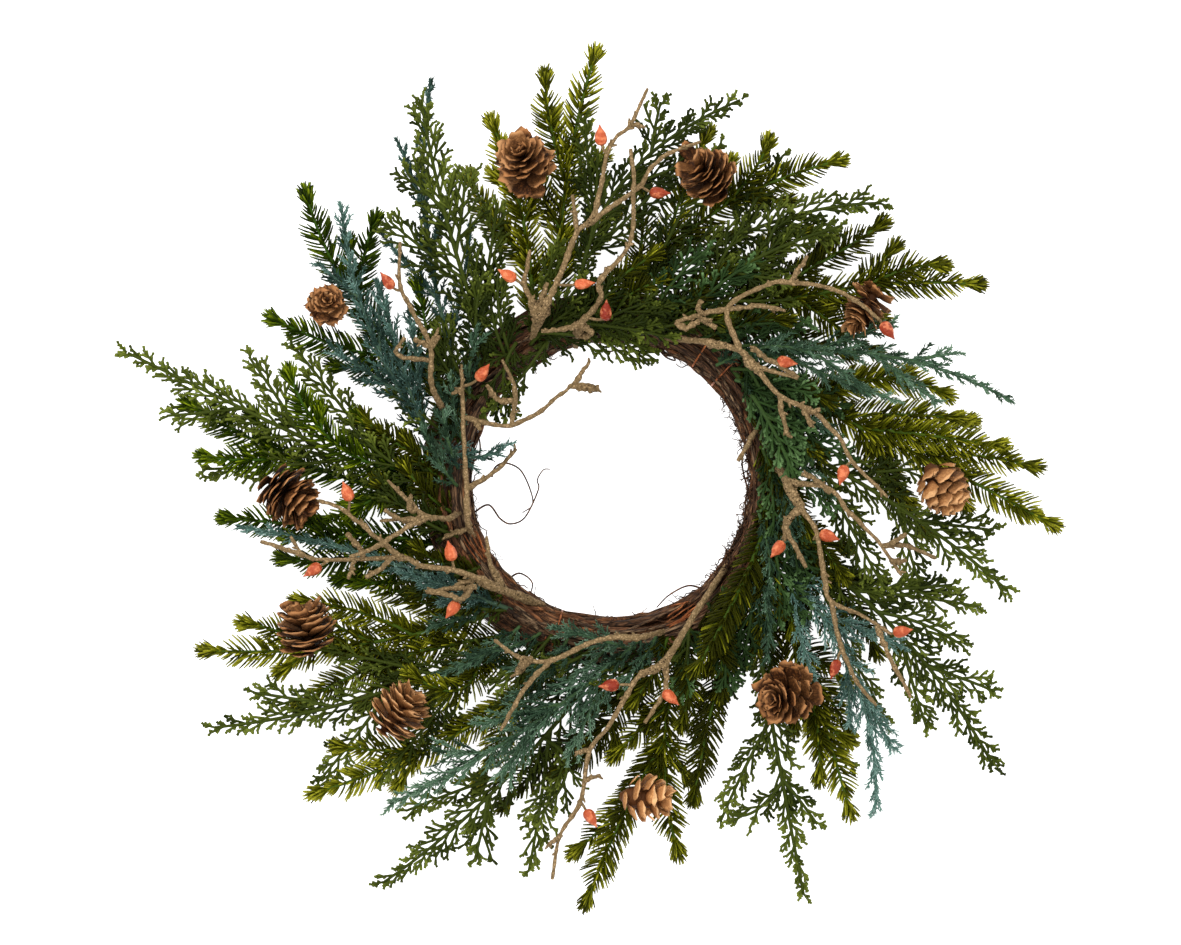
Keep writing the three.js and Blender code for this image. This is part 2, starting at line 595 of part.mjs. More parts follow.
// A short tuft of juniper: a thorn-like branchlet on all sides of the stem, with a finger on two of three.
function juniperBranchlet(owner, part, random, reach) {
  return (i, k, base, frame, share) => {
    const stagger = (i % 2 ? 0.5 : -0.5) + 0.4 * (random() - 0.5);
    const flat = Math.abs(faceDirection(frame, k, stagger).dot(frame.side));
    const grow = reach * lerp(0.62, 1, flat) * lerp(1, 0.5, share ** 2) * (0.85 + 0.3 * random());
    for (const [turn, scale] of JUNIPER_TRIES) {
      const way = faceDirection(frame, k, stagger + turn).multiplyScalar(JUNIPER_BRANCHLET.way[0])
        .addScaledVector(frame.forward, JUNIPER_BRANCHLET.way[1]);
      const line = { heel: base.heel, forward: frame.forward, way, long: grow * scale };
      const grown = grownBranchlet(owner, part, line, JUNIPER_BRANCHLET, k !== 1);
      if (grown) return grown;
    }
    return null;
  };
}

// The stations of a spray: its leader and its side shoots.
function sprayStems(spray, kind) {
  const root = onRing(spray.clock, kind.rootRadius, kind.rootHeight);
  const leader = bend(root, place(spray.via), place(spray.tip));
  const stems = [stationsOf(spray.name + ' 0', leader, kind.stem, kind.step)];
  spray.shoots.forEach((side, n) => {
    const curve = bend(leader.getPoint(side.at), place(side.via), place(side.tip));
    stems.push(stationsOf(`${spray.name} ${n + 1}`, curve, kind.side, kind.step));
  });
  stems.forEach((stations) => addStem(spray.name, stations));
  return stems;
}

// A spray's solid: its shoots grown one after another and joined.
function spraySolid(spray, stems, branchletOf, reach) {
  const random = randomFrom(spray.clock + spray.name.length);
  const shoots = stems.map((stations, n) => {
    const share = n === 0 ? 1 : SIDE_SHARE;
    return shoot(stations, branchletOf(spray.name, stations.name, random, reach * share));
  });
  return largestBody(union(shoots));
}

// Twigs: knobbly rods with forks and hips.

const TWIG_SIDES = 4;
const FORK_SIDES = 3;

function twigRadii(points, from, to, random) {
  return points.map((_, i) => lerp(from, to, i / (points.length - 1)) * (0.88 + 0.3 * random()));
}

// A hip and its stalk, from the twig to the crown at the hip's far end.
function hipRod(from, centre) {
  const out = centre.clone().sub(from).normalize();
  const profile = [[-0.5, 0.35], [-0.05, 1], [0.5, 0.35]];
  const points = profile.map(([along]) => centre.clone().addScaledVector(out, along * HIP.length));
  const radii = profile.map(([, wide]) => wide * HIP.radius);
  return rod([from, ...points], [HIP.stalk, ...radii], HIP.sides);
}

function twigSolid(twig) {
  const random = randomFrom(twig.name.charCodeAt(6) + 7 * twig.branches.length);
  const solids = twig.branches.map((branch, n) => {
    const points = branch.map(place);
    const thick = n === 0 ? TWIG.base : lerp(TWIG.base, TWIG.end, TWIG.fork);
    const radii = twigRadii(points, thick, TWIG.end, random);
    for (let i = 0; i < points.length - 1; i++) {
      addCapsule(twig.name, points[i], points[i + 1], Math.max(radii[i], radii[i + 1]));
    }
    return rod(points, radii, n === 0 ? TWIG_SIDES : FORK_SIDES);
  });
  twig.hips.forEach(([from, centre]) => {
    const start = place(from);
    const out = place(centre).sub(start).normalize();
    const stalk = Math.max(start.distanceTo(place(centre)), 0.5 * HIP.length + HIP.clear);
    const middle = start.clone().addScaledVector(out, stalk);
    const half = HIP.length / 2 - HIP.radius;
    const [near, far] = [-half, half].map((along) => middle.clone().addScaledVector(out, along));
    addCapsule(twig.name, near, far, HIP.radius);
    solids.push(hipRod(start, middle));
  });
  return union(solids);
}

// Cones: a core with its scales in a spiral, each drawn out from the core's surface as a wedge.

function coneAxis(cone) {
  const axis = place(cone.tip).sub(place(cone.base)).normalize();
  const middle = place(cone.tip).add(place(cone.base)).multiplyScalar(0.5);
  return { axis, start: middle.clone().addScaledVector(axis, -CONE.length / 2) };
}

// The nearest point on the carrier's stems, and a stalk end that stays clear of it.
function stalkEnd(start, owner) {
  let best = null;
  for (const c of capsules) {
    if (c.owner === owner || !c.part.endsWith(' stem')) continue;
    const along = c.to.clone().sub(c.from);
    const share = Math.min(Math.max(start.clone().sub(c.from).dot(along) / along.lengthSq(), 0), 1);
    const point = c.from.clone().addScaledVector(along, share);
    const distance = point.distanceTo(start);
    if (!best || distance < best.distance) best = { point, distance, radius: c.radius };
  }
  const back = start.clone().sub(best.point).normalize();
  return best.point.clone().addScaledVector(back, best.radius + SEAT_GAP);
}

// The distance from the start of the core to row i, which may lie between rows.
const rowHeight = (i) => CONE.length * (CONE.foot + CONE.span * (i / CONE.rows));

// A direction out of the cone's axis.
function outOf(frame, angle) {
  return frame.side.clone().multiplyScalar(Math.cos(angle)).addScaledVector(frame.up, Math.sin(angle));
}

function coneSolid(cone) {
  const { axis, start } = coneAxis(cone);
  const frame = framesAlong([start, start.clone().add(axis)])[0];
  const { columns, rows, length, core, scale } = CONE;
  const swelling = (share) => Math.sin(Math.PI * Math.min(share, 1));
  const coreRadius = (i) => cone.radius * (core[0] + core[1] * swelling(0.12 + 0.8 * (i / rows)));
  const positions = [];
  for (let i = 0; i <= rows; i++) {
    for (let k = 0; k < columns; k++) {
      const angle = ((k + 0.5 * i) * 2 * Math.PI) / columns;
      positions.push(start.clone().addScaledVector(axis, rowHeight(i))
        .addScaledVector(frame.side, coreRadius(i) * Math.cos(angle))
        .addScaledVector(frame.up, coreRadius(i) * Math.sin(angle)));
    }
  }
  const foot = positions.push(start) - 1;
  const nose = positions.push(start.clone().addScaledVector(axis, length * CONE.nose)) - 1;
  const triangles = [];
  for (let k = 0; k < columns; k++) {
    const next = (k + 1) % columns;
    triangles.push([foot, next, k], [rows * columns + k, rows * columns + next, nose]);
  }
  for (let i = 0; i < rows; i++) {
    for (let k = 0; k < columns; k++) {
      const [a, b] = [i * columns + k, i * columns + ((k + 1) % columns)];
      const [c, d] = [b + columns, a + columns];
      const out = outOf(frame, ((k + 0.75 + 0.5 * i) * 2 * Math.PI) / columns);
      const across = axis.clone().cross(out);
      const share = (i + 0.5) / rows;
      const reach = cone.radius * (scale[0] + scale[1] * swelling(share + 0.2));
      const rise = length * lerp(CONE.rise[0], CONE.rise[1], share);
      const tip = start.clone().addScaledVector(axis, rowHeight(i + 0.5) + rise)
        .addScaledVector(out, reach);
      const half = (Math.PI * reach * CONE.breadth) / columns;
      const corner = (way) => tip.clone()
        .addScaledVector(across, way * half)
        .addScaledVector(out, -half * CONE.bevel);
      const left = positions.push(corner(-1)) - 1;
      const mid = positions.push(tip) - 1;
      const right = positions.push(corner(1)) - 1;
      triangles.push([a, b, right], [a, right, mid], [a, mid, left]);
      triangles.push([c, d, left], [c, left, mid], [c, mid, right]);
      triangles.push([b, c, right], [d, a, left]);
    }
  }
  return solidOf(positions, triangles);
}

function coneWithStalk(cone) {
  const { axis, start } = coneAxis(cone);
  const end = stalkEnd(start, cone.name);
  const neck = start.clone().addScaledVector(axis, CONE.length * CONE.neck);
  const points = end.distanceTo(start) < 1 ? [start, neck] : [end, start, neck];
  addCapsule(cone.name, points[0], start, CONE.stalk);
  return largestBody(union([coneSolid(cone), rod(points, points.map(() => CONE.stalk), 3)]));
}

// The cone itself as a capsule, so that needles keep clear of it.
function addConeCapsule(cone) {
  const { axis, start } = coneAxis(cone);
  const from = start.clone().addScaledVector(axis, cone.radius * 0.75);
  const end = Math.max(CONE.length - cone.radius * 0.85, cone.radius * 0.8);
  const to = start.clone().addScaledVector(axis, end);
  addCapsule(cone.name, from, to, cone.radius + CONE_GAP);
}

// The ring: a ridged section that turns as it goes round, and meets itself a few ridges on.

function ringSolid() {
  const positions = [];
  const triangles = [];
  const vertex = (i, j) => {
    const turns = Math.floor(i / RING_STEPS);
    const shifted = j + 2 * TWISTS * turns;
    return (i % RING_STEPS) * BUNDLE_SIDES + (((shifted % BUNDLE_SIDES) + BUNDLE_SIDES) % BUNDLE_SIDES);
  };
  for (let i = 0; i < RING_STEPS; i++) {
    const round = (2 * Math.PI * i) / RING_STEPS;
    for (let j = 0; j < BUNDLE_SIDES; j++) {
      const angle = (2 * Math.PI * j) / BUNDLE_SIDES + (2 * TWISTS * round) / BUNDLE_SIDES;
      const ridge = (j % 2 ? RIDGE : -RIDGE) * (1 + RIDGE_SWELL * Math.sin(RIDGE_WAVES * round));
      const radius = BUNDLE_RADIUS + ridge;
      const out = RING_RADIUS + radius * Math.cos(angle);
      const height = Math.max(BUNDLE_HEIGHT + radius * Math.sin(angle), 0);
      positions.push(vec(out * Math.cos(round), out * Math.sin(round), height));
    }
  }
  for (let i = 0; i < RING_STEPS; i++) {
    for (let j = 0; j < BUNDLE_SIDES; j++) {
      const [a, b, c, d] = [vertex(i, j), vertex(i + 1, j), vertex(i + 1, j + 1), vertex(i, j + 1)];
      triangles.push([a, b, c], [a, c, d]);
    }
  }
  return solidOf(positions, triangles);
}

// A binding wire's path: a little over one turn round the bundle at a clock angle.
function wirePath(clock) {
  return Array.from({ length: WIRE.steps + 1 }, (_, i) => {
    const angle = WIRE.start + (2 * Math.PI * WIRE.turns * i) / WIRE.steps;
    const radius = BUNDLE_RADIUS + WIRE.lift;
    const spot = onRing(clock + WIRE.drift * (i / WIRE.steps), RING_RADIUS + radius * Math.cos(angle), 0);
    return spot.setZ(Math.max(BUNDLE_HEIGHT + radius * Math.sin(angle), WIRE.radius + WIRE.floor));
  });
}

// The hole that a stem stands in: the stem's own shape with a gap all round, out to past the ring.
function holeFor(points, radii, sides, turn) {
  const inside = points.map((p) => ringDistance(p) < 2 * RIDGE + radii[0]);
  const last = Math.min(inside.lastIndexOf(true) + 1, points.length - 1);
  const frames = framesAlong(points).slice(0, last + 1);
  const path = points.slice(0, last + 1).map((p) => p.clone());
  path[0].addScaledVector(frames[0].forward, -HOLE_GAP);
  return rodWith(path, frames, radii.map((r) => r + HOLE_GAP), sides, turn);
}

// Assembly.

const wreath = new THREE.Group();

function addPart(name, solid, material) {
  const mesh = solid.getMesh();
  const geometry = new THREE.BufferGeometry();
  geometry.setAttribute('position', new THREE.BufferAttribute(mesh.vertProperties, 3));
  geometry.setIndex(new THREE.BufferAttribute(mesh.triVerts, 1));
  const part = new THREE.Mesh(geometry, material);
  part.name = name;
  wreath.add(part);
}

function matte(color, roughness = 0.8) {
  return new THREE.MeshStandardMaterial({ color, roughness, metalness: 0 });
}

const barkMaterial = matte(0x3a2a20, 0.9);
const twigMaterial = matte(0x8a7150, 0.85);
const coneMaterial = matte(0x8a5a38, 0.7);
const firMaterial = matte(0x55681e);
const cedarMaterial = matte(0x35562a);
const juniperMaterial = matte(0x587f7a);
const wireMaterial = new THREE.MeshStandardMaterial({ color: 0xa8653c, roughness: 0.4, metalness: 0.9 });

const wires = WIRE.clocks.map(wirePath);
wires.forEach((path, n) => {
  for (let i = 0; i < path.length - 1; i++) {
    addCapsule('binding_wire_' + (n + 1), path[i], path[i + 1], WIRE.radius);
  }
});

const families = [
  { sprays: junipers, kind: JUNIPER, branchletOf: juniperBranchlet, material: juniperMaterial },
  { sprays: cedars, kind: CEDAR, branchletOf: cedarBranchlet, material: cedarMaterial },
  { sprays: firs, kind: FIR, branchletOf: firNeedle, material: firMaterial },
];
families.forEach((family) => {
  family.stems = family.sprays.map((spray) => sprayStems(spray, family.kind));
});

const twigSolids = twigs.map(twigSolid);
cones.forEach(addConeCapsule);
const coneSolids = cones.map(coneWithStalk);

families.forEach(({ sprays, stems, branchletOf, kind, material }) => {
  sprays.forEach((spray, n) => {
    addPart(spray.name, spraySolid(spray, stems[n], branchletOf, spray.reach ?? kind.reach), material);
  });
});
twigs.forEach((twig, n) => addPart(twig.name, twigSolids[n], twigMaterial));
cones.forEach((cone, n) => addPart(cone.name, coneSolids[n], coneMaterial));
wires.forEach((path, n) => {
  addPart('binding_wire_' + (n + 1), rod(path, path.map(() => WIRE.radius), 3), wireMaterial);
});

const holes = [
  ...families.flatMap((family) => family.stems.flat())
    .filter((stem) => stem.points.some((p) => ringDistance(p) < RIDGE + stem.radii[0]))
    .map((stem) => holeFor(stem.points, stem.radii, CORE_SIDES, CORE_TURN)),
  ...twigs.map((twig) => {
    const points = twig.branches[0].map(place);
    return holeFor(points, points.map(() => 1.2 * TWIG.base), TWIG_SIDES, 0);
  }),
  ...wires.map((path) => rod(path, path.map(() => WIRE.radius + HOLE_GAP), 3)),
];
const pierced = holes.reduce((left, hole) => left.subtract(hole), ringSolid());
addPart('vine_ring', largestBody(pierced), barkMaterial);

// The wreath's own frame: its lowest face on z = 0, the middle of its outline at x = y = 0.
const box = new THREE.Box3().setFromObject(wreath);
const centre = box.getCenter(vec(0, 0, 0));
wreath.position.set(-centre.x, -centre.y, -box.min.z);

export default wreath;
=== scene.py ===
import bpy
import numpy as np
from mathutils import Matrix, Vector


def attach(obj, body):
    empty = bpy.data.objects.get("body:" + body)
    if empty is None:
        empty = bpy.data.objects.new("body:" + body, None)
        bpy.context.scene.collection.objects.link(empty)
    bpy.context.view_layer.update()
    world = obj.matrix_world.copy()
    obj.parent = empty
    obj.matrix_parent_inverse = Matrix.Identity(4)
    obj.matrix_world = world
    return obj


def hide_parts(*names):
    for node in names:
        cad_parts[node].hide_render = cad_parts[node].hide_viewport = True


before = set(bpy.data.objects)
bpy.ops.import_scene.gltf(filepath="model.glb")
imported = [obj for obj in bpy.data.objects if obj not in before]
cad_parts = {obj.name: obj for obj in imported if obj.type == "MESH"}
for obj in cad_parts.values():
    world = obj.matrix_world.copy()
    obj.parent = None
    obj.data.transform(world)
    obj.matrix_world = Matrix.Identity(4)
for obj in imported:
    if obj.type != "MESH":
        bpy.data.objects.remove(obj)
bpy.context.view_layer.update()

# The ring: wild grapevines wound round and round into a bundle about 30 mm thick, lying on its flat back.
# Thick dark stems make the bundle; thinner rusty stems, loose strands and curly tendrils are twisted over it.

MM = 0.001
ring_centre = np.array([13.0, -1.5, 0.0])
ring_radius = 105.0
bundle_radius = 15.0
bundle_height = 12.0
above_ground = 0.05
upward = np.array([[0.0, 0.0, 1.0]])
full_turn = 2 * np.pi


def unit(v):
    """Each vector over its own length."""
    return v / np.maximum(np.linalg.norm(v, axis=-1, keepdims=True), 1e-9)


def tubes(paths, widths, sides, across, thin=1.0, rough=1.0, tone=0.5, wood=0.0, along=None):
    """Skins many paths at once. Round a point P of a path the corners are P + w (cos a · side + thin · sin a · up),
    with side = across made square to the path and up = forward x side; rings are joined and both ends closed.
    along, tone and wood are kept at each vertex: the share of the way along, a shade, and how woody it is."""
    n, m = paths.shape[:2]
    forward = unit(np.gradient(paths, axis=1))
    across = np.broadcast_to(across, (n, 3))[:, None]
    side = unit(across - (across * forward).sum(-1, keepdims=True) * forward)
    up = np.cross(forward, side)
    angle = full_turn * np.arange(sides) / sides
    w = np.broadcast_to(widths, (n, m))[..., None] * rough
    points = (
        paths[:, :, None]
        + (w * np.cos(angle))[..., None] * side[:, :, None]
        + (w * thin * np.sin(angle))[..., None] * up[:, :, None]
    )
    grid = np.arange(n * m * sides).reshape(n, m, sides)
    beside = np.roll(grid, -1, axis=2)
    quads = np.stack([grid[:, :-1], beside[:, :-1], beside[:, 1:], grid[:, 1:]], axis=-1)
    ends = np.concatenate([grid[:, 0, ::-1], grid[:, -1]])

    def spread(value):
        """A value for each vertex from one for all, for each path or for each point of a path."""
        value = np.asarray(value, float)
        if value.shape == (n,):
            value = value[:, None]
        return np.repeat(np.broadcast_to(value, (n, m)).reshape(-1), sides)

    return {
        "points": points.reshape(-1, 3),
        "corners": np.concatenate([quads.reshape(-1), ends.reshape(-1)]),
        "sizes": np.concatenate([np.full(n * (m - 1) * sides, 4), np.full(2 * n, sides)]),
        "along": spread(np.linspace(0, 1, m) if along is None else along),
        "tone": spread(tone),
        "wood": spread(wood),
    }


def piece(name, parts, material, nodes):
    """One object of several skins, with its vertices in metres in the row frame, that stands for some CAD nodes."""
    before = np.cumsum([0] + [len(p["points"]) for p in parts[:-1]])
    points = np.concatenate([p["points"] for p in parts]) + ring_centre
    points[:, 2] = np.maximum(points[:, 2], above_ground)
    corners = np.concatenate([p["corners"] + b for p, b in zip(parts, before)])
    sizes = np.concatenate([p["sizes"] for p in parts])
    mesh = bpy.data.meshes.new(name)
    mesh.vertices.add(len(points))
    mesh.vertices.foreach_set("co", (points * MM).astype(np.float32).ravel())
    mesh.loops.add(len(corners))
    mesh.loops.foreach_set("vertex_index", corners.astype(np.int32))
    mesh.polygons.add(len(sizes))
    mesh.polygons.foreach_set("loop_start", (np.cumsum(sizes) - sizes).astype(np.int32))
    mesh.polygons.foreach_set("use_smooth", np.ones(len(sizes), bool))
    for key in ("along", "tone", "wood"):
        values = np.concatenate([p[key] for p in parts]).astype(np.float32)
        mesh.attributes.new(key, "FLOAT", "POINT").data.foreach_set("value", values)
    mesh.update(calc_edges=True)
    mesh.validate()
    mesh.materials.append(material)
    obj = bpy.data.objects.new(name, mesh)
    bpy.context.scene.collection.objects.link(obj)
    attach(obj, "root")
    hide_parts(*nodes)


def round_bundle(clock, angle, reach):
    """Points beside the ring's centreline: clock is the place round the ring from the top, in radians, angle the
    place round the bundle and reach the distance from its middle."""
    out = ring_radius + reach * np.cos(angle)
    height = bundle_height + reach * np.sin(angle)
    return np.stack([out * np.sin(clock), out * np.cos(clock), height], axis=-1)


def waves(rng, rows, steps, count, size):
    """Smooth wandering along rows: a sum of sines of random pace and phase, falling off with the pace."""
    at = np.linspace(0, 1, steps)
    pace = rng.uniform(1, count, (rows, count, 1))
    phase = rng.uniform(0, full_turn, (rows, count, 1))
    return size * (np.sin(full_turn * pace * at + phase) / np.sqrt(pace)).sum(1)


def rgb(red, green, blue):
    """A colour given in display values 0 to 255, as the linear one that a shader needs."""
    c = np.array([red, green, blue]) / 255
    linear = np.where(c > 0.04045, ((c + 0.055) / 1.055) ** 2.4, c / 12.92)
    return (*linear.tolist(), 1.0)


def feed(tree, target, value):
    """Links the value to the target socket if it is a socket, and else sets the target to it."""
    if isinstance(value, bpy.types.NodeSocket):
        tree.links.new(value, target)
    else:
        target.default_value = value


def node(tree, kind, **settings):
    """A shader node with its properties set by name, and its inputs by name with spaces as underscores."""
    made = tree.nodes.new(kind)
    for key, value in settings.items():
        if hasattr(made, key):
            setattr(made, key, value)
        else:
            feed(tree, made.inputs[key.replace("_", " ")], value)
    return made


def maths(tree, operation, *values):
    """The result of a math node on these sockets or numbers."""
    made = tree.nodes.new("ShaderNodeMath")
    made.operation = operation
    for target, value in zip(made.inputs, values):
        feed(tree, target, value)
    return made.outputs[0]


def blend(tree, share, a, b):
    """Mixes colours a and b by share, where each may be a socket or a value."""
    mix = node(tree, "ShaderNodeMix", data_type="RGBA")
    for name, value in (("Factor_Float", share), ("A_Color", a), ("B_Color", b)):
        feed(tree, next(s for s in mix.inputs if s.identifier == name), value)
    return next(s for s in mix.outputs if s.identifier == "Result_Color")


def attribute(tree, name):
    """The value kept at the vertices under this name."""
    return node(tree, "ShaderNodeAttribute", attribute_name=name).outputs["Fac"]


def object_place(tree):
    """Where a point is in the object's own coordinates."""
    return node(tree, "ShaderNodeTexCoord").outputs["Object"]


def noise(tree, scale, detail):
    """Soft noise on object coordinates."""
    return node(tree, "ShaderNodeTexNoise", Vector=object_place(tree), Scale=scale, Detail=detail).outputs["Fac"]


def ranged(tree, value, low, high, to_low=0.0, to_high=1.0):
    """The value carried smoothly from low..high to to_low..to_high, and held at its ends."""
    made = node(tree, "ShaderNodeMapRange", interpolation_type="SMOOTHSTEP", Value=value,
                From_Min=low, From_Max=high, To_Min=to_low, To_Max=to_high)
    return made.outputs["Result"]


def group_of(name, inputs, outputs):
    """An empty node group with named sockets: colours where the name says Color, numbers elsewhere."""
    tree = bpy.data.node_groups.new(name, "ShaderNodeTree")
    for in_out, names in (("INPUT", inputs), ("OUTPUT", outputs)):
        for socket in names:
            kind = "Color" if "Color" in socket else "Vector" if socket == "Place" else "Float"
            tree.interface.new_socket(socket, in_out=in_out, socket_type="NodeSocket" + kind)
    return tree, tree.nodes.new("NodeGroupInput").outputs, tree.nodes.new("NodeGroupOutput").inputs


# Bark: dark cracks over a mottled ground, from a light and a dark colour, how fine it is and where a point is.
bark_grain, given, wanted = group_of("bark grain", ["Light Color", "Dark Color", "Scale", "Place"], ["Color", "Height"])
ground = {"Vector": given["Place"], "Scale": given["Scale"]}
mottle = node(bark_grain, "ShaderNodeTexNoise", **ground, Detail=4.0, Roughness=0.65).outputs["Fac"]
cracks = node(bark_grain, "ShaderNodeTexVoronoi", feature="DISTANCE_TO_EDGE", **ground).outputs["Distance"]
crack = ranged(bark_grain, cracks, 0.0, 0.16)
mixed = blend(bark_grain, ranged(bark_grain, mottle, 0.36, 0.66), given["Dark Color"], given["Light Color"])
feed(bark_grain, wanted["Color"], blend(bark_grain, crack, given["Dark Color"], mixed))
feed(bark_grain, wanted["Height"], maths(bark_grain, "MULTIPLY", crack, mottle))


def grain(tree, light, dark, scale, place=None):
    """The bark grain with these colours, on object coordinates unless another place is given: colour and height."""
    made = node(tree, "ShaderNodeGroup", node_tree=bark_grain, Light_Color=light, Dark_Color=dark, Scale=scale,
                Place=place or object_place(tree))
    return made.outputs["Color"], made.outputs["Height"]


def new_material(name, roughness, **constants):
    """A material with its shader's own sockets set; gives it, its tree and its shader."""
    made = bpy.data.materials.new(name)
    made.use_nodes = True
    shader = made.node_tree.nodes["Principled BSDF"]
    for key, value in {"Roughness": roughness, **constants}.items():
        shader.inputs[key.replace("_", " ")].default_value = value
    return made, made.node_tree, shader


def dress(tree, shader, colour, height, distance):
    """The shader's colour, and its bump from a height over so many metres."""
    bump = node(tree, "ShaderNodeBump", Height=height, Distance=distance)
    feed(tree, shader.inputs["Base Color"], colour)
    feed(tree, shader.inputs["Normal"], bump.outputs["Normal"])


def round_ring(tree):
    """Coordinates that follow the ring: how far out from its centre, how far round it (shrunk, so that the grain is
    drawn out along the vines), and the height."""
    shrink = 0.012
    centred = node(tree, "ShaderNodeMapping", Vector=object_place(tree), Location=tuple(-ring_centre * MM)).outputs[0]
    x, y, z = node(tree, "ShaderNodeSeparateXYZ", Vector=centred).outputs
    turned = maths(tree, "MULTIPLY", maths(tree, "ARCTAN2", x, y), shrink)
    flat = node(tree, "ShaderNodeCombineXYZ", X=x, Y=y).outputs[0]
    out = node(tree, "ShaderNodeVectorMath", operation="LENGTH", Vector=flat).outputs["Value"]
    return node(tree, "ShaderNodeCombineXYZ", X=out, Y=turned, Z=z).outputs[0]


vine_bark, tree, shader = new_material("vine bark", 0.68, Specular_IOR_Level=0.1)
tone = attribute(tree, "tone")
rust, torn = ranged(tree, tone, 0.5, 0.95), ranged(tree, tone, 1.0, 1.4)
weathered = blend(tree, attribute(tree, "wood"), rgb(104, 70, 46), rgb(144, 119, 90))
light = blend(tree, torn, blend(tree, rust, weathered, rgb(138, 90, 56)), rgb(196, 118, 66))
dark = blend(tree, torn, blend(tree, rust, rgb(36, 25, 18), rgb(68, 42, 26)), rgb(110, 58, 30))
dress(tree, shader, *grain(tree, light, dark, 620.0, round_ring(tree)), 0.0005)


def each(low, high):
    """A random number for each stem of the present kind, as a column."""
    return rng.uniform(low, high, (stems, 1))


def wander(count, size):
    """Smooth wandering along each stem of the present kind."""
    return waves(rng, stems, steps, count, size)


def ribbed(sides, depth):
    """How far each corner of a vine stands out: ribs that run on along it and slowly come and go."""
    ribs = np.moveaxis(waves(rng, stems * sides, steps, 5, 0.3).reshape(stems, sides, steps), 1, 2)
    return 1 + depth * (rng.standard_normal((stems, 1, sides)) + ribs)


def vines(clock, angle, reach, wide, sides, lowest, **looks):
    """Skins of stems at these places round the ring and the bundle; the bundle is flat where it lies on its back."""
    paths = round_bundle(clock, angle, reach)
    paths[..., 2] = np.maximum(paths[..., 2], lowest)
    return tubes(paths, wide, sides, upward, **looks)


rng = np.random.default_rng(7)
strand_lowest = 0.4
parts = []

# Thick stems: five thick ones inside, the others side by side over them.
inner, stems, steps = 5, 30, 160
number = np.arange(stems)
turn = np.linspace(0, 1.02 * full_turn, steps)
angle = (full_turn * number / (stems - inner))[:, None] + each(0.3, 0.7) * turn + wander(6, 0.14)
thick = np.where(number < inner, 4.2, rng.uniform(1.3, 2.7, stems))[:, None] * (1 + wander(9, 0.06))
clock = turn + each(0, full_turn)
reach = np.where(number < inner, 5.5, 12.2)[:, None] + wander(12, 0.6)
parts.append(vines(clock, angle, reach, thick, 8, thick, rough=ribbed(8, 0.09), tone=rng.uniform(0.0, 0.9, stems),
                   wood=rng.random(stems) ** 2))

# Thin stems over them, more of them rusty.
stems, steps = 46, 100
turn = np.linspace(0, 1, steps) * each(1.2, 4.5)
angle = each(0, full_turn) + each(-1.5, 1.6) * turn + wander(8, 0.12)
thick = each(0.6, 1.5)
clock = turn + each(0, full_turn)
reach = bundle_radius + wander(14, 0.5)
parts.append(vines(clock, angle, reach, thick, 6, thick, rough=ribbed(6, 0.12), tone=rng.uniform(0.3, 1.0, stems),
                   wood=rng.random(stems)))

# Loose flat strands on top, whose ends may stand off.
stems, steps = 90, 40
share = np.linspace(0, 1, steps)
turn = share * each(0.25, 1.3)
angle = each(0, full_turn) + each(-2.2, 2.2) * turn + wander(8, 0.16)
reach = 15.6 + np.abs(wander(5, 0.9)) + each(0, 1.2) * np.linspace(-1, 1, steps) ** 4
clock = turn + each(0, full_turn)
wide = each(0.22, 0.75) * (1.1 - 0.6 * share)
parts.append(vines(clock, angle, reach, wide, 4, strand_lowest, thin=0.5, tone=rng.uniform(0.2, 1.0, stems)))

# Frayed ends: short split strands that stand a little off the inner edge, most of them on the right.
stems, steps = 190, 11
share = np.linspace(0, 1, steps)
clock = np.radians(np.where(rng.random(stems) < 0.65, rng.uniform(50, 135, stems), rng.uniform(0, 360, stems)))
clock = clock[:, None] + rng.choice([-1, 1], (stems, 1)) * each(0.03, 0.2) * share
angle = each(2.4, 3.7) + each(-0.5, 0.5) * share
reach = 14.5 + each(1.0, 8.0) * share**1.4 + wander(4, 0.9)
wide = each(0.35, 0.95) * (1.1 - 0.6 * share)
parts.append(vines(clock, angle, reach, wide, 4, strand_lowest, thin=0.6, tone=rng.uniform(0.1, 0.7, stems)))

# Torn strips that show the orange inner bark, at two places on the inner side.
stems, steps = 14, 24
share = np.linspace(0, 1, steps)
clock = np.radians(np.where(np.arange(stems) < 8, 152, 243))[:, None] + each(-0.03, 0.03)
clock = clock + each(0.1, 0.26) * (share - 0.5)
angle = each(1.75, 2.5) + each(-0.3, 0.3) * share
reach = 16.6 + wander(3, 0.4)
wide = each(0.8, 1.5) * np.sin(np.pi * (0.06 + 0.88 * share)) ** 0.5
parts.append(vines(clock, angle, reach, wide, 6, strand_lowest, thin=0.5, tone=rng.uniform(1.1, 1.5, stems)))
piece("vines", parts, vine_bark, ["vine_ring"])


def smooth(points, steps):
    """A curve through the points: each stretch is the cubic that leaves and meets its ends along the chord of the
    points beside them, with the given number of steps to a stretch."""
    p = np.asarray(points, float)
    p = np.concatenate([[2 * p[0] - p[1]], p, [2 * p[-1] - p[-2]]])
    u = np.linspace(0, 1, steps, endpoint=False)[:, None, None]
    a, b, c, d = p[:-3], p[1:-2], p[2:-1], p[3:]
    curve = b + 0.5 * u * (c - a + u * (2 * a - 5 * b + 4 * c - d + u * (3 * (b - c) + d - a)))
    return np.concatenate([curve.transpose(1, 0, 2).reshape(-1, 3), p[-2:-1]])


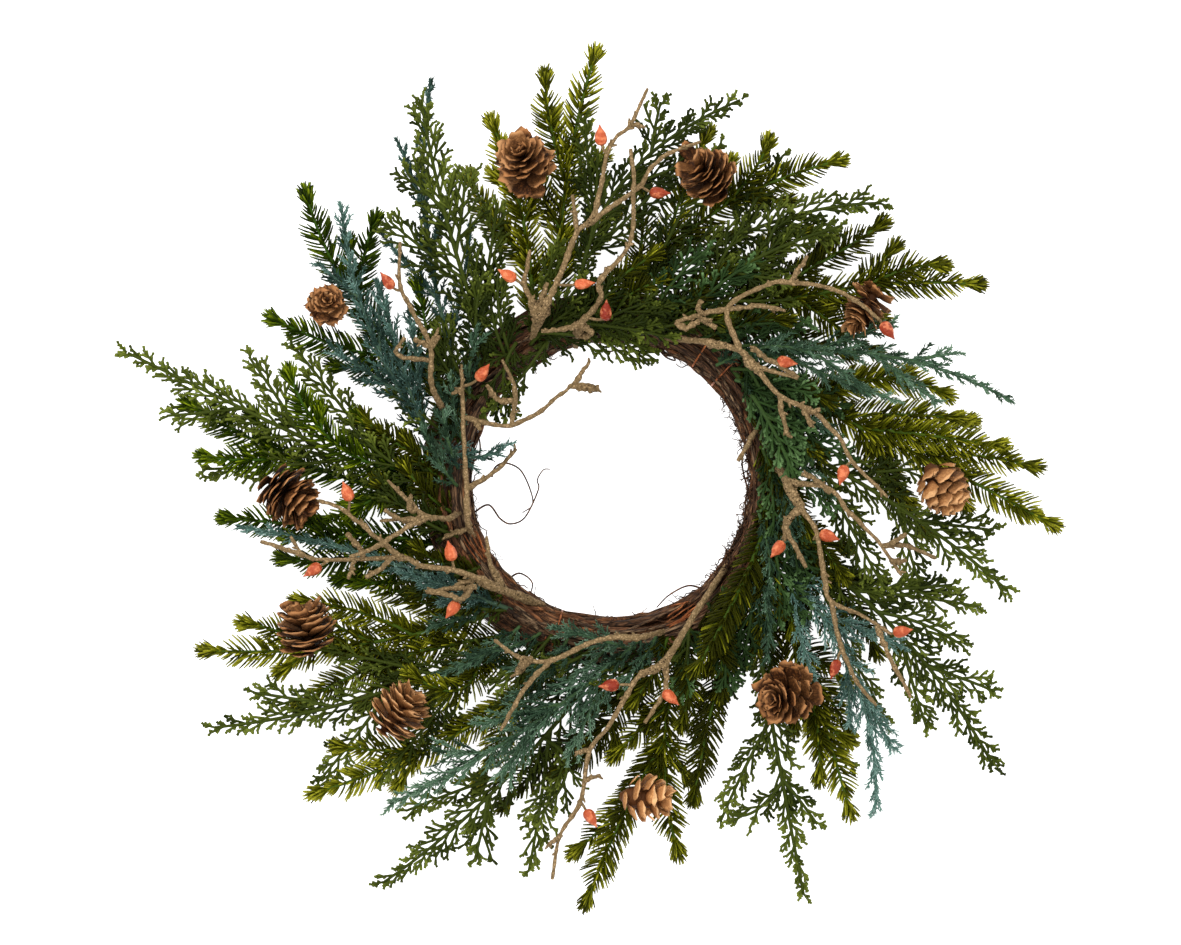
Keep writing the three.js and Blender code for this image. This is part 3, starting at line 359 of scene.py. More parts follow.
# Tendrils and loose ends that curl into the hole, each through points round the ring's inside edge.
tendrils = [
    [(-76, 2, 8), (-73.6, 8.3, 11), (-67.2, 10.9, 13), (-57.6, 6.4, 14), (-51.2, -6.4, 13), (-49.9, -16, 11),
        (-56.3, -21.1, 10)],
    [(-91, -25, 9), (-88.3, -21.8, 11), (-78.1, -16, 14), (-70.4, -25, 15), (-63.4, -28.2, 15), (-54.4, -23.7, 14),
        (-46.1, -6.4, 12), (-46.7, 0, 11), (-42.9, 6.4, 10), (-38.4, 7, 10)],
    [(91, 20, 12), (86, 27, 14), (83.2, 36, 14), (85, 44, 12), (90, 30, 10)],
    [(92, -20, 8), (88, -4, 10), (85, 12, 9), (88, 30, 9), (90, 40, 10)],
    [(90, -40, 10), (87, -22, 13), (88, -8, 12), (91, 4, 12)],
    [(30, 86, 12), (36, 79, 16), (42, 77, 14), (38, 82, 11)],
    [(-8, 91, 10), (-4, 84, 13), (2, 83, 12), (4, 88, 10)],
    [(60, -70, 10), (50, -68, 14), (38, -74, 15), (30, -82, 12)],
    [(-90, 10, 10), (-84, 16, 14), (-84, 26, 14), (-88, 34, 12)],
    [(-66, -64, 8), (-58, -60, 12), (-50, -66, 13), (-52, -76, 11)],
]
parts = []
for points in tendrils:
    path = smooth(points, 9)[None]
    parts.append(tubes(path, np.linspace(0.8, 0.42, path.shape[1]), 6, upward, tone=0.35 + 0.4 * rng.random()))
piece("tendrils", parts, vine_bark, ["vine_ring"])

# The binding wires: copper-coloured, wound a little over once round the bundle to hold it tight. The third is a
# second turn beside the first, which the CAD leaves out.

wire_clocks = (35, 199, 46)
wire_radius, wire_turns, wire_lead, wire_gap, wire_start = 0.7, 1.12, 3.2, 0.6, 0.6
wire_metal, tree, shader = new_material("copper wire", 0.38, Metallic=0.9)
tarnish = noise(tree, 300.0, 3.0)
dress(tree, shader, blend(tree, ranged(tree, tarnish, 0.4, 0.65), rgb(166, 98, 58), rgb(100, 56, 34)), tarnish, 0.0002)
share = np.linspace(0, 1, 64)
for number, top in enumerate(wire_clocks, 1):
    clock, angle = np.radians(top + wire_lead * share), wire_start + full_turn * wire_turns * share
    path = round_bundle(clock, angle, bundle_radius + wire_gap)
    path[:, 2] = np.maximum(path[:, 2], wire_radius + 0.2)
    ahead = np.radians(top + 90)
    skin = tubes(path[None], wire_radius, 8, unit(np.array([np.sin(ahead), np.cos(ahead), 0.0])))
    piece(f"wire_{number}", [skin], wire_metal, [f"binding_wire_{number}"] if number < 3 else [])

# The fir sprays: green shoots of fir, each a leader with a few side shoots, pushed into the ring from outside.
# Flat needles stand out on both sides and over the top, and close up into a bright tuft at each tip.
# Name, shade, clock angle where it leaves the ring, halfway point, tip, and side shoots: share of the leader,
# halfway point, tip.

firs = [
    ("fir_01", 0.5, 342, (-28, 191, 20), (-8, 278, 34), [(0.5, (-39, 232, 27), (-41, 264, 32))]),
    ("fir_02", 0.4, 332, (-55, 163, 24), (-78, 234, 36), [(0.34, (-76, 169, 16), (-92, 200, 18))]),
    ("fir_03", 0.3, 4, (63, 169, 20), (152, 206, 34), [(0.56, (92, 198, 30), (103, 221, 38)), (0.3, (45, 180, 22),
        (65, 227, 26))]),
    ("fir_04", 0.1, 21, (115, 129, 18), (179, 168, 24), [(0.35, (99, 145, 26), (133, 161, 30))]),
    ("fir_05", 0.25, 29, (146, 122, 20), (241, 125, 32), [(0.6, (193, 136, 30), (218, 137, 34)), (0.36, (148, 97, 24),
        (175, 79, 26))]),
    ("fir_06", 0.45, 53, (178, 26, 20), (288, -31, 40), [(0.2, (173, 65, 22), (221, 52, 26)), (0.34, (189, 42, 20),
        (228, 39, 24)), (0.42, (208, 28, 30), (256, 21, 34)), (0.58, (240, 15, 34), (277, 7, 40)),
        (0.46, (182, -6, 14), (207, -37, 14))]),
    ("fir_07", 0.1, 99, (152, -76, 16), (173, -116, 18), [(0.22, (119, -78, 22), (125, -119, 26))]),
    ("fir_08", 0.4, 120, (129, -134, 18), (155, -218, 34), [(0.5, (134, -170, 27), (134, -196, 28)),
        (0.42, (146, -148, 14), (154, -170, 13))]),
    ("fir_09", -0.08, 94, (84, -67, 46), (52, -125, 50), [(0.4, (68, -134, 28), (53, -209, 32))]),
    ("fir_10", 0.35, 151, (35, -168, 18), (45, -243, 34), [(0.5, (10, -212, 27), (-17, -275, 36)),
        (0.56, (0, -218, 16), (-27, -242, 18))]),
    ("fir_11", 0.05, 167, (-6, -165, 16), (-40, -189, 20), [(0.4, (-42, -182, 12), (-71, -214, 13))]),
    ("fir_12", 0.5, 187, (-102, -165, 18), (-194, -202, 34), [(0.6, (-154, -173, 28), (-180, -170, 33))]),
    ("fir_13", 0.35, 204, (-131, -113, 20), (-204, -147, 28), [(0.2, (-96, -134, 38), (-131, -121, 48))]),
    ("fir_14", 0.45, 219, (-166, -106, 24), (-264, -109, 36), [(0.6, (-216, -96, 32), (-239, -91, 37)),
        (0.3, (-163, -84, 30), (-205, -77, 33))]),
    ("fir_15", 0.3, 246, (-166, -33, 18), (-252, -24, 26), [(0.35, (-176, -51, 13), (-216, -49, 13)),
        (0.42, (-182, -37, 28), (-212, -36, 30)), (0.2, (-141, -63, 12), (-170, -64, 12))]),
    ("fir_16", 0.42, 263, (-191, 9, 20), (-275, 52, 36), [(0.58, (-238, 13, 30), (-265, 16, 34))]),
    ("fir_17", 0.28, 274, (-170, 19, 40), (-207, 74, 46), [(0.3, (-144, 20, 28), (-166, 44, 28))]),
    ("fir_18", 0.2, 295, (-163, 115, 18), (-196, 189, 34), [(0.5, (-157, 147, 28), (-148, 172, 34)),
        (0.25, (-172, 85, 24), (-221, 106, 28)), (0.12, (-118, 96, 22), (-125, 131, 24))]),
]

# Foliage: dark where it is old, and a little darker where a fir shoot lies low, as painted shade; lit at the ends
# of its needles, and mottled from one shoot to the next.
leaf_tone, given, wanted = group_of(
    "leaf tone", ["Dark Color", "Leaf Color", "Tip Color", "Stem Color"], ["Color", "Height"])
fine = noise(leaf_tone, 900.0, 2.0)
age_and_height_light = maths(leaf_tone, "MULTIPLY_ADD", noise(leaf_tone, 55.0, 2.0), 0.5, attribute(leaf_tone, "tone"))
body = blend(leaf_tone, ranged(leaf_tone, age_and_height_light, 0.25, 1.05), given["Dark Color"], given["Leaf Color"])
end = maths(leaf_tone, "MULTIPLY", attribute(leaf_tone, "along"), ranged(leaf_tone, age_and_height_light, 0.3, 1.3, 0.4, 1.3))
lit = blend(leaf_tone, ranged(leaf_tone, end, 0.35, 1.05), body, given["Tip Color"])
speck = ranged(leaf_tone, fine, 0.3, 0.7, 0.78, 1.16)
shaded = node(leaf_tone, "ShaderNodeVectorMath", operation="SCALE", Vector=lit, Scale=speck).outputs[0]
feed(leaf_tone, wanted["Color"], blend(leaf_tone, attribute(leaf_tone, "wood"), shaded, given["Stem Color"]))
feed(leaf_tone, wanted["Height"], fine)


def foliage(name, dark, leaf, tip, stem, roughness, relief):
    """A foliage material from its four colours."""
    made, tree, shader = new_material(name, roughness, Specular_IOR_Level=0.04)
    tones = node(tree, "ShaderNodeGroup", node_tree=leaf_tone, Dark_Color=rgb(*dark), Leaf_Color=rgb(*leaf),
                 Tip_Color=rgb(*tip), Stem_Color=rgb(*stem)).outputs
    dress(tree, shader, tones["Color"], tones["Height"], relief)
    return made


fir_olive = foliage("olive fir", (36, 38, 0), (85, 90, 2), (150, 148, 36), (56, 78, 22), 0.45, 0.0003)
fir_green = foliage("green fir", (24, 37, 0), (68, 90, 1), (116, 130, 16), (50, 78, 22), 0.45, 0.0003)

stem_steps = 40
golden_turn = 2.4
ring_edge = 118
mean_tip = 25
fir_root_radius, fir_root_height = 108, 12
fir_leader, fir_slim = (1.7, 1.0), (1.3, 0.8)


def run_along(path):
    """How far along the path each of its points is."""
    return np.concatenate([[0], np.cumsum(np.linalg.norm(np.diff(path, axis=0), axis=1))])


def parabola(root, via, tip, u):
    """The points at the shares u of a parabola from root to tip that passes through via halfway."""
    root, via, tip = (np.asarray(p, float) for p in (root, via, tip))
    return (1 - u) ** 2 * root + 2 * u * (1 - u) * (2 * via - (root + tip) / 2) + u**2 * tip


def stem_path(root, via, tip):
    """Evenly spaced points along such a parabola, and its length."""
    curve = parabola(root, via, tip, np.linspace(0, 1, 200)[:, None])
    run = run_along(curve)
    even = np.linspace(0, run[-1], stem_steps)
    return np.stack([np.interp(even, run, curve[:, i]) for i in range(3)], axis=-1), run[-1]


def stems_of(clock, via, tip, shoots, root_radius, root_height):
    """The leader and side shoots of a spray as (path, length) pairs, from its root in the ring."""
    turn = np.radians(clock)
    root = (root_radius * np.sin(turn), root_radius * np.cos(turn), root_height)
    starts = parabola(root, via, tip, np.array([at for at, _, _ in shoots])[:, None])
    return [stem_path(root, via, tip)] + [stem_path(start, *shoot[1:]) for start, shoot in zip(starts, shoots)]


def offshoots(paths, flats, shares, turns, leans, lengths, curl, points):
    """Shoots that leave other paths. At a share of a path with forward t, side = flat x t and up = t x side, one
    goes out along o = cos(turn)·side + sin(turn)·up: start + L u (cos(lean)·t + sin(lean)·o) + curl L u² t.
    Those of no length are left out. Gives the paths, their flats, and which were kept."""
    paths = paths if paths.ndim == 3 else paths[None]
    shares, turns, leans, lengths = (np.atleast_2d(value) for value in (shares, turns, leans, lengths))
    n, m = paths.shape[:2]
    spot = np.clip(shares, 0, 1) * (m - 1)
    i = np.minimum(spot.astype(int), m - 2)
    row = np.arange(n)[:, None]
    a, b = paths[row, i], paths[row, i + 1]
    start = a + (b - a) * (spot - i)[..., None]
    forward = unit(b - a)
    side = unit(np.cross(flats[:, None], forward))
    up = np.cross(forward, side)
    out = np.cos(turns)[..., None] * side + np.sin(turns)[..., None] * up
    way = np.cos(leans)[..., None] * forward + np.sin(leans)[..., None] * out
    kept = np.broadcast_to(lengths, spot.shape) > 0
    u = np.linspace(0, 1, points)[:, None]
    size = np.broadcast_to(lengths, spot.shape)[..., None, None]
    made = start[..., None, :] + size * (way[..., None, :] * u + curl * forward[..., None, :] * u**2)
    flat = unit(up - (up * way).sum(-1, keepdims=True) * way)
    return made[kept], flat[kept], kept


def blades(paths, flats, widths, sides, thin, tone, along=None):
    """Skins of flat shoots, each with its broad side up; widths and along go from foot to tip."""
    across = unit(np.cross(flats, paths[:, -1] - paths[:, 0]))
    return tubes(paths, widths, sides, across, thin=thin, tone=tone, along=along)


def needle_skin(needles, flats, wide, tone):
    """Flat needles: narrow at the foot, widest past the middle, with a blunt end."""
    return blades(needles, flats, wide * np.array([0.65, 0.95, 1.0, 0.55]), 4, 0.65, tone, [0.0, 0.35, 0.78, 1.0])


def side_shoots(rng, leader, length, count, lean, size):
    """More shoots by turns on both sides of a leader, each a share of what is left of it, a little below it. Those
    that would end over the ring are left out."""
    share = np.linspace(0.16, 0.62, count) + rng.uniform(-0.04, 0.04, count)
    turn = np.pi * ((np.arange(count) + rng.integers(2)) % 2)
    turn = turn + np.where(turn == 0, -1, 1) * rng.uniform(0.0, 0.3, count)
    long = length * (1 - share) * size * rng.uniform(0.8, 1.15, count)
    lean = lean + rng.normal(0, 0.08, count)
    paths, _, _ = offshoots(leader, upward, share, turn, lean, long, 0.12, stem_steps)
    clear = np.linalg.norm(paths[:, -1, :2], axis=1) > ring_edge
    return list(zip(paths[clear], long[clear] * 1.1))


def sprigs(rng, zones, root_height, sizes):
    """Short shoots on the ring itself, leaning clockwise and out over it: zones are (first clock, last clock,
    count, nearest root radius). The nearer the root is to the hole, the more the shoot lies along the ring."""
    made = []
    for first, last, count, inner in zones:
        for clock in np.linspace(first, last, count) + rng.uniform(-3, 3, count):
            turn = np.radians(clock)
            radial = np.array([np.sin(turn), np.cos(turn), 0.0])
            ahead = np.array([np.cos(turn), -np.sin(turn), 0.0])
            swing = rng.uniform(0.35, 1.2) + 0.05 * max(0, 100 - inner)
            way = np.cos(swing) * radial + np.sin(swing) * ahead
            root = radial * rng.uniform(inner, inner + 8) + (0, 0, root_height)
            long = rng.uniform(*sizes)
            via = root + way * long / 2 + (radial - ahead) * long * 0.05 + (0, 0, rng.uniform(7, 13))
            made.append(stem_path(root, via, root + way * long + (0, 0, rng.uniform(0, 14))))
    return made


def spray(rng, shoot, stems, shade, spread, stem, side_stem, bare, side_bare, height_light=0.0):
    """The skins of a spray, whose first stem is its leader. shoot makes those of one stem from its path, length, widths
    at foot and tip with the reach of its branchlets if it has them, shade and the share that is bare. The last argument
    is how much lighter a stem is painted for each mm that its tip is higher: painted light and shade, with the higher
    stems lit and the lower ones shaded."""
    parts = []
    for order, (path, length) in enumerate(stems):
        shown = shade + height_light * (path[-1, 2] - mean_tip) + rng.normal(0, spread)
        parts += shoot(rng, path, length, *((side_stem, shown, side_bare) if order else (stem, shown, bare)))
    return parts


def fir_shoot(rng, path, length, stem, shade, start):
    """Needles and stem of one shoot. Needles stand out by turns left and right at about 55 degrees and curve
    forward, some with a second one close above, and short ones lie over the stem. They shorten to a neck, and the
    tuft beyond it is a brush, its needles leaning out more towards the end."""
    end = 1 - 4.5 / length
    body_end = end - 11 / length
    rows = int((body_end - start) * length / 1.25)
    count = 4 * rows
    row, kind = np.arange(count) // 4, np.arange(count) % 4
    kept = rng.random(count) < np.array([0.93, 0.42, 0.42, 0.3])[kind]
    share = start + (body_end - start) * (row + rng.uniform(0.1, 0.9, count)) / rows
    opened = np.clip(((body_end - share) * length - 1) / 14, 0, 1)
    above = np.array([0.05, 0.3, 0.75, 1.3])[kind] + rng.normal(0, 0.1, count)
    turn = np.where((row + (kind == 1)) % 2 == 0, above, np.pi - above)
    size = (4.6 + 7.8 * opened) * rng.uniform(0.9, 1.08, count) * np.array([1, 0.95, 0.8, 0.6])[kind]
    lean = np.array([0.6, 0.54, 0.44, 0.3])[kind] + 0.46 * opened + rng.normal(0, 0.05, count)
    needles, flat, _ = offshoots(path, upward, share, turn, lean, np.where(kept, size, 0), 0.26, 4)
    crown = 56
    at = np.linspace(0, 1, crown)
    turn = np.arange(crown) * golden_turn + rng.normal(0, 0.2, crown)
    lean = np.interp(at, [0, 0.3, 0.75, 1], [0.45, 0.8, 0.85, 0.35]) + rng.normal(0, 0.12, crown)
    size = np.interp(at, [0, 0.3, 0.75, 1], [7.0, 8.6, 7.4, 5.6]) * rng.uniform(0.88, 1.1, crown)
    tuft, tuft_flat, _ = offshoots(path, upward, np.linspace(body_end, end, crown), turn, lean, size, 0.34, 4)
    m = int(np.ceil(end * (len(path) - 1))) + 1
    bright = shade + 0.16 * (share - 0.6) - 0.1 * (kind > 1)
    return [
        needle_skin(needles, flat, 0.66, (bright + rng.normal(0, 0.16, count))[kept]),
        needle_skin(tuft, tuft_flat, 0.58, 0.6 * shade + 0.19 + rng.normal(0, 0.16, crown)),
        tubes(path[None, :m], np.linspace(*stem, m), 6, upward, tone=shade, wood=0.8, along=0.3),
    ]


for number, (name, shade, clock, via, tip, shoots) in enumerate(firs):
    rng = np.random.default_rng(100 + number)
    stems = stems_of(clock, via, tip, shoots, fir_root_radius, fir_root_height)
    stems += side_shoots(rng, *stems[0], 4 if number < 14 else 2, 0.72, 0.42) if name != "fir_09" else []
    # Fir stems are painted lighter the higher their tips lie: painted light and shade by height.
    parts = spray(rng, fir_shoot, stems, shade, 0.04, fir_leader, fir_slim, 0.08, 0.0, 0.002)
    piece(name + "_spray", parts, fir_green if number > 13 else fir_olive, [name])

rng = np.random.default_rng(190)
zones = [(350, 372, 3, 98), (22, 50, 3, 100), (62, 100, 6, 94), (100, 160, 8, 99), (225, 285, 8, 100)]
parts = []
for path, length in sprigs(rng, zones, 24, (44, 72)):
    parts += fir_shoot(rng, path, length, fir_slim, 0.08 + rng.normal(0, 0.05), 0.0)
piece("fir_sprigs", parts, fir_olive, [])

# The cedar fronds: flat sprays of scaly branchlets that fork again and again, ending in blunt little crosses.
# Name, shade, clock angle, halfway point, tip, reach of its branchlets, and side shoots.

cedars = [
    ("cedar_01", 0.4, 316, (-102, 157, 40), (-121, 244, 44), 26, []),
    ("cedar_02", 0.35, 349, (6, 188, 32), (88, 245, 40), 20, [(0.22, (-10, 170, 30), (-8, 211, 34))]),
    ("cedar_03", 0.35, 359, (93, 161, 30), (179, 177, 38), 22, []),
    ("cedar_04", 0.35, 16, (90, 140, 38), (150, 163, 42), 18, []),
    ("cedar_05", 0.35, 338, (-6, 95, 40), (26, 82, 36), 14, [(0.08, (-61, 61, 34), (-84, 41, 34))]),
    ("cedar_06", 0.35, 47, (101, 38, 46), (120, -3, 48), 20, []),
    ("cedar_07", 0.4, 74, (186, -18, 30), (258, -74, 38), 22, []),
    ("cedar_08", 0.45, 108, (184, -97, 30), (248, -188, 40), 22, [(0.3, (179, -70, 24), (221, -67, 28)),
        (0.42, (202, -93, 36), (228, -108, 40))]),
    ("cedar_09", 0.45, 124, (106, -168, 30), (125, -271, 38), 18, [(0.62, (93, -212, 34), (77, -214, 36))]),
    ("cedar_10", 0.5, 178, (-70, -195, 26), (-150, -261, 36), 22, [(0.32, (-28, -187, 32), (-50, -219, 32))]),
    ("cedar_11", 0.45, 207, (-152, -138, 32), (-259, -159, 38), 20, []),
    ("cedar_12", 0.5, 261, (-205, 31, 32), (-314, 84, 42), 22, []),
]

cedar_root_radius, cedar_root_height = 106, 19
cedar_leader, cedar_slim = (1.7, 1.0), (1.3, 0.9)
cedar_green = foliage("cedar", (26, 34, 6), (62, 72, 18), (102, 112, 42), (52, 62, 20), 0.4, 0.0004)
cedar_shaded = foliage("shaded cedar", (20, 34, 12), (54, 79, 38), (102, 132, 84), (50, 66, 30), 0.4, 0.0004)


def by_turns(rng, rows, columns, spread):
    """Angles to the left and to the right by turns along each row and from row to row, a little off."""
    left_right = (np.arange(columns) + np.arange(rows)[:, None]) % 2
    return np.pi * left_right + rng.normal(0, spread, (rows, columns))


def handed_on(values, kept):
    """The value of each path, once for each of its offshoots that were kept."""
    return np.broadcast_to(values[:, None], kept.shape)[kept]


def woody_stem(path, foot, tip, sides, shade, wood):
    """The axis of a frond, woody at its foot; it ends just before its path does."""
    line = path[None, :-1]
    m = line.shape[1]
    woody = np.linspace(wood, 0, m)
    return tubes(line, np.linspace(foot, tip, m), sides, (1, 0, 0.2), tone=shade, wood=woody, along=0.2)


def cedar_frond(rng, path, length, stem, shade, start):
    """An axis with branchlets by turns left and right, shorter towards the tip; fingers on each branchlet and nubs
    on each finger, all nearly in the frond's own plane. The stem is its widths and the reach of its branchlets."""
    foot, tip, reach = stem
    flats = unit(np.array([[rng.normal(0, 0.22), rng.normal(0, 0.22), 1.0]]))
    count = int((1 - start) * length / 4.8)
    share = start + (0.985 - start) * (np.arange(count) + 0.5 + rng.uniform(-0.3, 0.3, count)) / count
    turn = by_turns(rng, 1, count, 0.14)
    size = reach * (1 - 0.72 * share**4) * rng.uniform(0.62, 1.05, count) * np.clip((share - start) * 8 + 0.5, 0, 1)
    lean = 0.7 - 0.25 * share + rng.normal(0, 0.08, count)
    shoots, flat, _ = offshoots(path, flats, share, turn, lean, size, 0.18, 7)
    shoot_tone = shade + 0.35 * (share - 0.6) + rng.normal(0, 0.1, count)

    many = (count, 5)
    place = np.linspace(0.26, 0.93, many[1]) + rng.uniform(-0.05, 0.05, many)
    turn = by_turns(rng, *many, 0.12)
    long = 8.6 * (1.05 - 0.55 * place) * np.clip(size / 16, 0.4, 1.15)[:, None] * rng.uniform(0.6, 1.15, many)
    long = np.where(rng.random(many) < 0.15, 0, long)
    lean = 0.55 + rng.normal(0, 0.08, many)
    fingers, finger_flat, kept = offshoots(shoots, flat, place, turn, lean, long, 0.14, 4)
    finger_tone = handed_on(shoot_tone, kept) + rng.normal(0, 0.08, kept.sum())

    many = (len(fingers), 2)
    place = np.array([0.5, 0.78]) + rng.uniform(-0.08, 0.08, many)
    turn = by_turns(rng, *many, 0.12)
    short = rng.uniform(2.0, 3.4, many) * (rng.random(many) < (0.25, 0.75)) * (long[kept] > 3.5)[:, None]
    nubs, nub_flat, kept = offshoots(fingers, finger_flat, place, turn, 0.58, short, 0.1, 2)
    return [
        woody_stem(path, foot, tip, 8, shade, 0.7),
        blades(shoots, flat, np.linspace(0.85, 1.0, 7), 5, 0.75, shoot_tone, np.linspace(0.1, 0.8, 7)),
        blades(fingers, finger_flat, [0.6, 0.78, 0.98, 0.95], 4, 0.7, finger_tone, np.linspace(0.3, 1, 4)),
        blades(nubs, nub_flat, [0.66, 0.9], 4, 0.7, handed_on(finger_tone, kept), [0.5, 1.0]),
    ]


for number, (name, shade, clock, via, tip, reach, shoots) in enumerate(cedars):
    rng = np.random.default_rng(200 + number)
    stems = stems_of(clock, via, tip, shoots, cedar_root_radius, cedar_root_height)
    stems += side_shoots(rng, *stems[0], 4, 0.62, 0.52) if reach > 15 else []
    stem, side_stem = (*cedar_leader, reach), (*cedar_slim, 0.8 * reach)
    parts = spray(rng, cedar_frond, stems, shade, 0.05, stem, side_stem, 0.12, 0.05)
    piece(name + "_spray", parts, cedar_shaded if name == "cedar_06" else cedar_green, [name])

# Three fronds hang a little way into the hole at the top, and three lie along the ring on the right: root, halfway
# point, tip and reach. Short fronds stand on the ring as well.
hanging = [
    ((-50, 94, 32), (-14, 91, 42), (27, 79, 32), 21),
    ((-60, 88, 30), (-68, 68, 36), (-66, 42, 28), 20),
    ((-34, 100, 34), (2, 98, 46), (42, 90, 38), 18),
    ((84, 78, 28), (102, 46, 40), (116, 2, 36), 19),
    ((98, 70, 30), (118, 40, 44), (126, 10, 40), 17),
    ((98, 20, 26), (104, -8, 36), (104, -38, 34), 15),
]
zones = (
    [(300, 330, 6, 98), (330, 374, 9, 93)],
    [(14, 50, 5, 101), (56, 100, 4, 100), (104, 150, 6, 98)],
    [(150, 300, 10, 100)],
)
rng = np.random.default_rng(290)
for part, group in enumerate(zones):
    parts = []
    for root, via, tip, reach in hanging[3 * part : 3 * part + 3]:
        parts += cedar_frond(rng, *stem_path(root, via, tip), (*cedar_slim, reach), 0.32, 0.03)
    for path, length in sprigs(rng, group, 26, (45, 75)):
        parts += cedar_frond(rng, path, length, (*cedar_slim, 17), 0.3 + rng.normal(0, 0.06), 0.03)
    piece(f"cedar_sprigs_{part + 1}", parts, cedar_shaded if part == 1 else cedar_green, [])

# The juniper sprays: blue-green shoots set all round with short sharp scales, from slim branchlets on every side.
# Name, shade, clock angle, halfway point, tip, reach of its branchlets, and side shoots.

junipers = [
    ("juniper_01", 0.35, 298, (-118, 165, 28), (-113, 262, 32), 14, []),
    ("juniper_02", 0.4, 277, (-152, 93, 44), (-172, 180, 48), 19, [(0.15, (-134, 76, 50), (-148, 128, 52)),
        (0.04, (-82, 15, 40), (-65, 24, 42))]),
    ("juniper_03", 0.45, 42, (173, 80, 46), (262, 47, 48), 16, [(0.06, (122, 83, 54), (166, 54, 54))]),
    ("juniper_04", 0.65, 113, (155, -123, 44), (169, -216, 48), 21, []),
    ("juniper_05", 0.5, 167, (-63, -165, 46), (-145, -209, 48), 26, [(0.05, (-8, -102, 44), (-37, -94, 42))]),
    ("juniper_06", 0.45, 216, (-102, -69, 44), (-137, -58, 44), 14, [(0.3, (-166, -45, 36), (-243, -30, 34))]),
]

juniper_root_radius, juniper_root_height = 104, 24
juniper_leader, juniper_slim = (1.6, 0.9), (1.2, 0.8)
juniper_blue = foliage("blue juniper", (24, 40, 32), (68, 98, 88), (132, 162, 152), (66, 84, 60), 0.55, 0.0003)
juniper_sage = foliage("sage juniper", (24, 40, 26), (71, 99, 75), (124, 150, 126), (62, 84, 46), 0.55, 0.0003)


def spiked(rng, paths, flats, lengths, tone, every, size):
    """Sharp scales round each path, one to each step, turning by the golden angle and leaning forward. Shorter paths
    have fewer of them."""
    longest = np.max(lengths)
    many = (len(paths), max(3, int(longest / every)))
    steps = np.arange(many[1])
    place = (steps + rng.random(many)) / many[1]
    turn = steps * golden_turn + rng.normal(0, 0.3, many)
    long = size * rng.uniform(0.75, 1.2, many) * (rng.random(many) < (lengths / longest)[:, None])
    spikes, flat, kept = offshoots(paths, flats, place, turn, 0.55 + rng.normal(0, 0.1, many), long, 0.1, 3)
    shade = handed_on(tone, kept) + rng.normal(0, 0.1, kept.sum())
    return blades(spikes, flat, [0.44, 0.42, 0.13], 3, 0.8, shade, [0.2, 0.6, 1.0])


def juniper_shoot(rng, path, length, stem, shade, start):
    """An axis with branchlets all round, shorter towards the tip, each with twiglets by turns on both sides; all
    of them are set with spikes. The stem is its widths and the reach of its branchlets."""
    foot, tip, reach = stem
    count = int((1 - start) * length / 3.5)
    share = start + (0.97 - start) * (np.arange(count) + rng.random(count)) / count
    turn = np.arange(count) * golden_turn + rng.normal(0, 0.2, count)
    size = reach * (1 - 0.64 * share**1.6) * rng.uniform(0.7, 1.15, count) * (0.72 + 0.28 * np.abs(np.cos(turn)))
    lean = 0.62 + rng.normal(0, 0.1, count)
    shoots, flat, _ = offshoots(path, upward, share, turn, lean, size, 0.2, 6)
    shoot_tone = shade + 0.3 * (share - 0.5) + rng.normal(0, 0.12, count)

    many = (count, 6)
    place = np.linspace(0.2, 0.92, many[1]) + rng.uniform(-0.05, 0.05, many)
    turn = np.pi * (np.arange(many[1]) % 2) + rng.normal(0, 0.7, many)
    long = 0.42 * size[:, None] * (1.1 - 0.7 * place) * rng.uniform(0.7, 1.1, many)
    twiglets, twiglet_flat, kept = offshoots(shoots, flat, place, turn, 0.6, long, 0.15, 4)
    twiglet_tone = handed_on(shoot_tone, kept)
    begun = path[None, int(start * len(path)) : -1]
    return [
        woody_stem(path, foot, tip, 7, shade, 0.8),
        blades(shoots, flat, np.linspace(0.8, 0.45, 6), 5, 1.0, shoot_tone, np.linspace(0.1, 0.7, 6)),
        blades(twiglets, twiglet_flat, np.linspace(0.55, 0.3, 4), 4, 1.0, twiglet_tone, np.linspace(0.2, 0.8, 4)),
        spiked(rng, begun, upward, np.array([(1 - start) * length]), np.array([shade]), 0.7, 4.4),
        spiked(rng, shoots, flat, size, shoot_tone, 1.3, 3.0),
        spiked(rng, twiglets, twiglet_flat, long[kept], twiglet_tone, 1.5, 2.5),
    ]


for number, (name, shade, clock, via, tip, reach, shoots) in enumerate(junipers):
    rng = np.random.default_rng(300 + number)
    stems = stems_of(clock, via, tip, shoots, juniper_root_radius, juniper_root_height)
    stems += side_shoots(rng, *stems[0], 4, 0.5, 0.42)
    stem, side_stem = (*juniper_leader, reach), (*juniper_slim, 0.8 * reach)
    parts = spray(rng, juniper_shoot, stems, shade, 0.05, stem, side_stem, 0.12, 0.03)
    material = juniper_sage if name in ("juniper_03", "juniper_05") else juniper_blue
    piece(name + "_spray", parts, material, [name])

# Short juniper shoots on the ring: on the right and at the lower right, then along the bottom and at the left.
rng = np.random.default_rng(390)
zones = ([(42, 104, 10, 98), (104, 122, 2, 104)], [(160, 222, 8, 102), (266, 300, 5, 97)])
for part, group in enumerate(zones):
    parts = []
    for path, length in sprigs(rng, group, 27, (40, 64)):
        parts += juniper_shoot(rng, path, length, (*juniper_slim, 14), 0.35 + rng.normal(0, 0.05), 0.03)
    piece(f"juniper_sprigs_{part + 1}", parts, juniper_sage, [])

# The bare twigs: knobbly tan branches pushed into the ring, forked, with swollen nodes, buds and cut-off stubs.
# Rose hips hang on them by short stalks. Name, branches through their points, small forks and stubs, and hips: the
# point on the twig, the hip's middle, the way it points and how ripe it is.

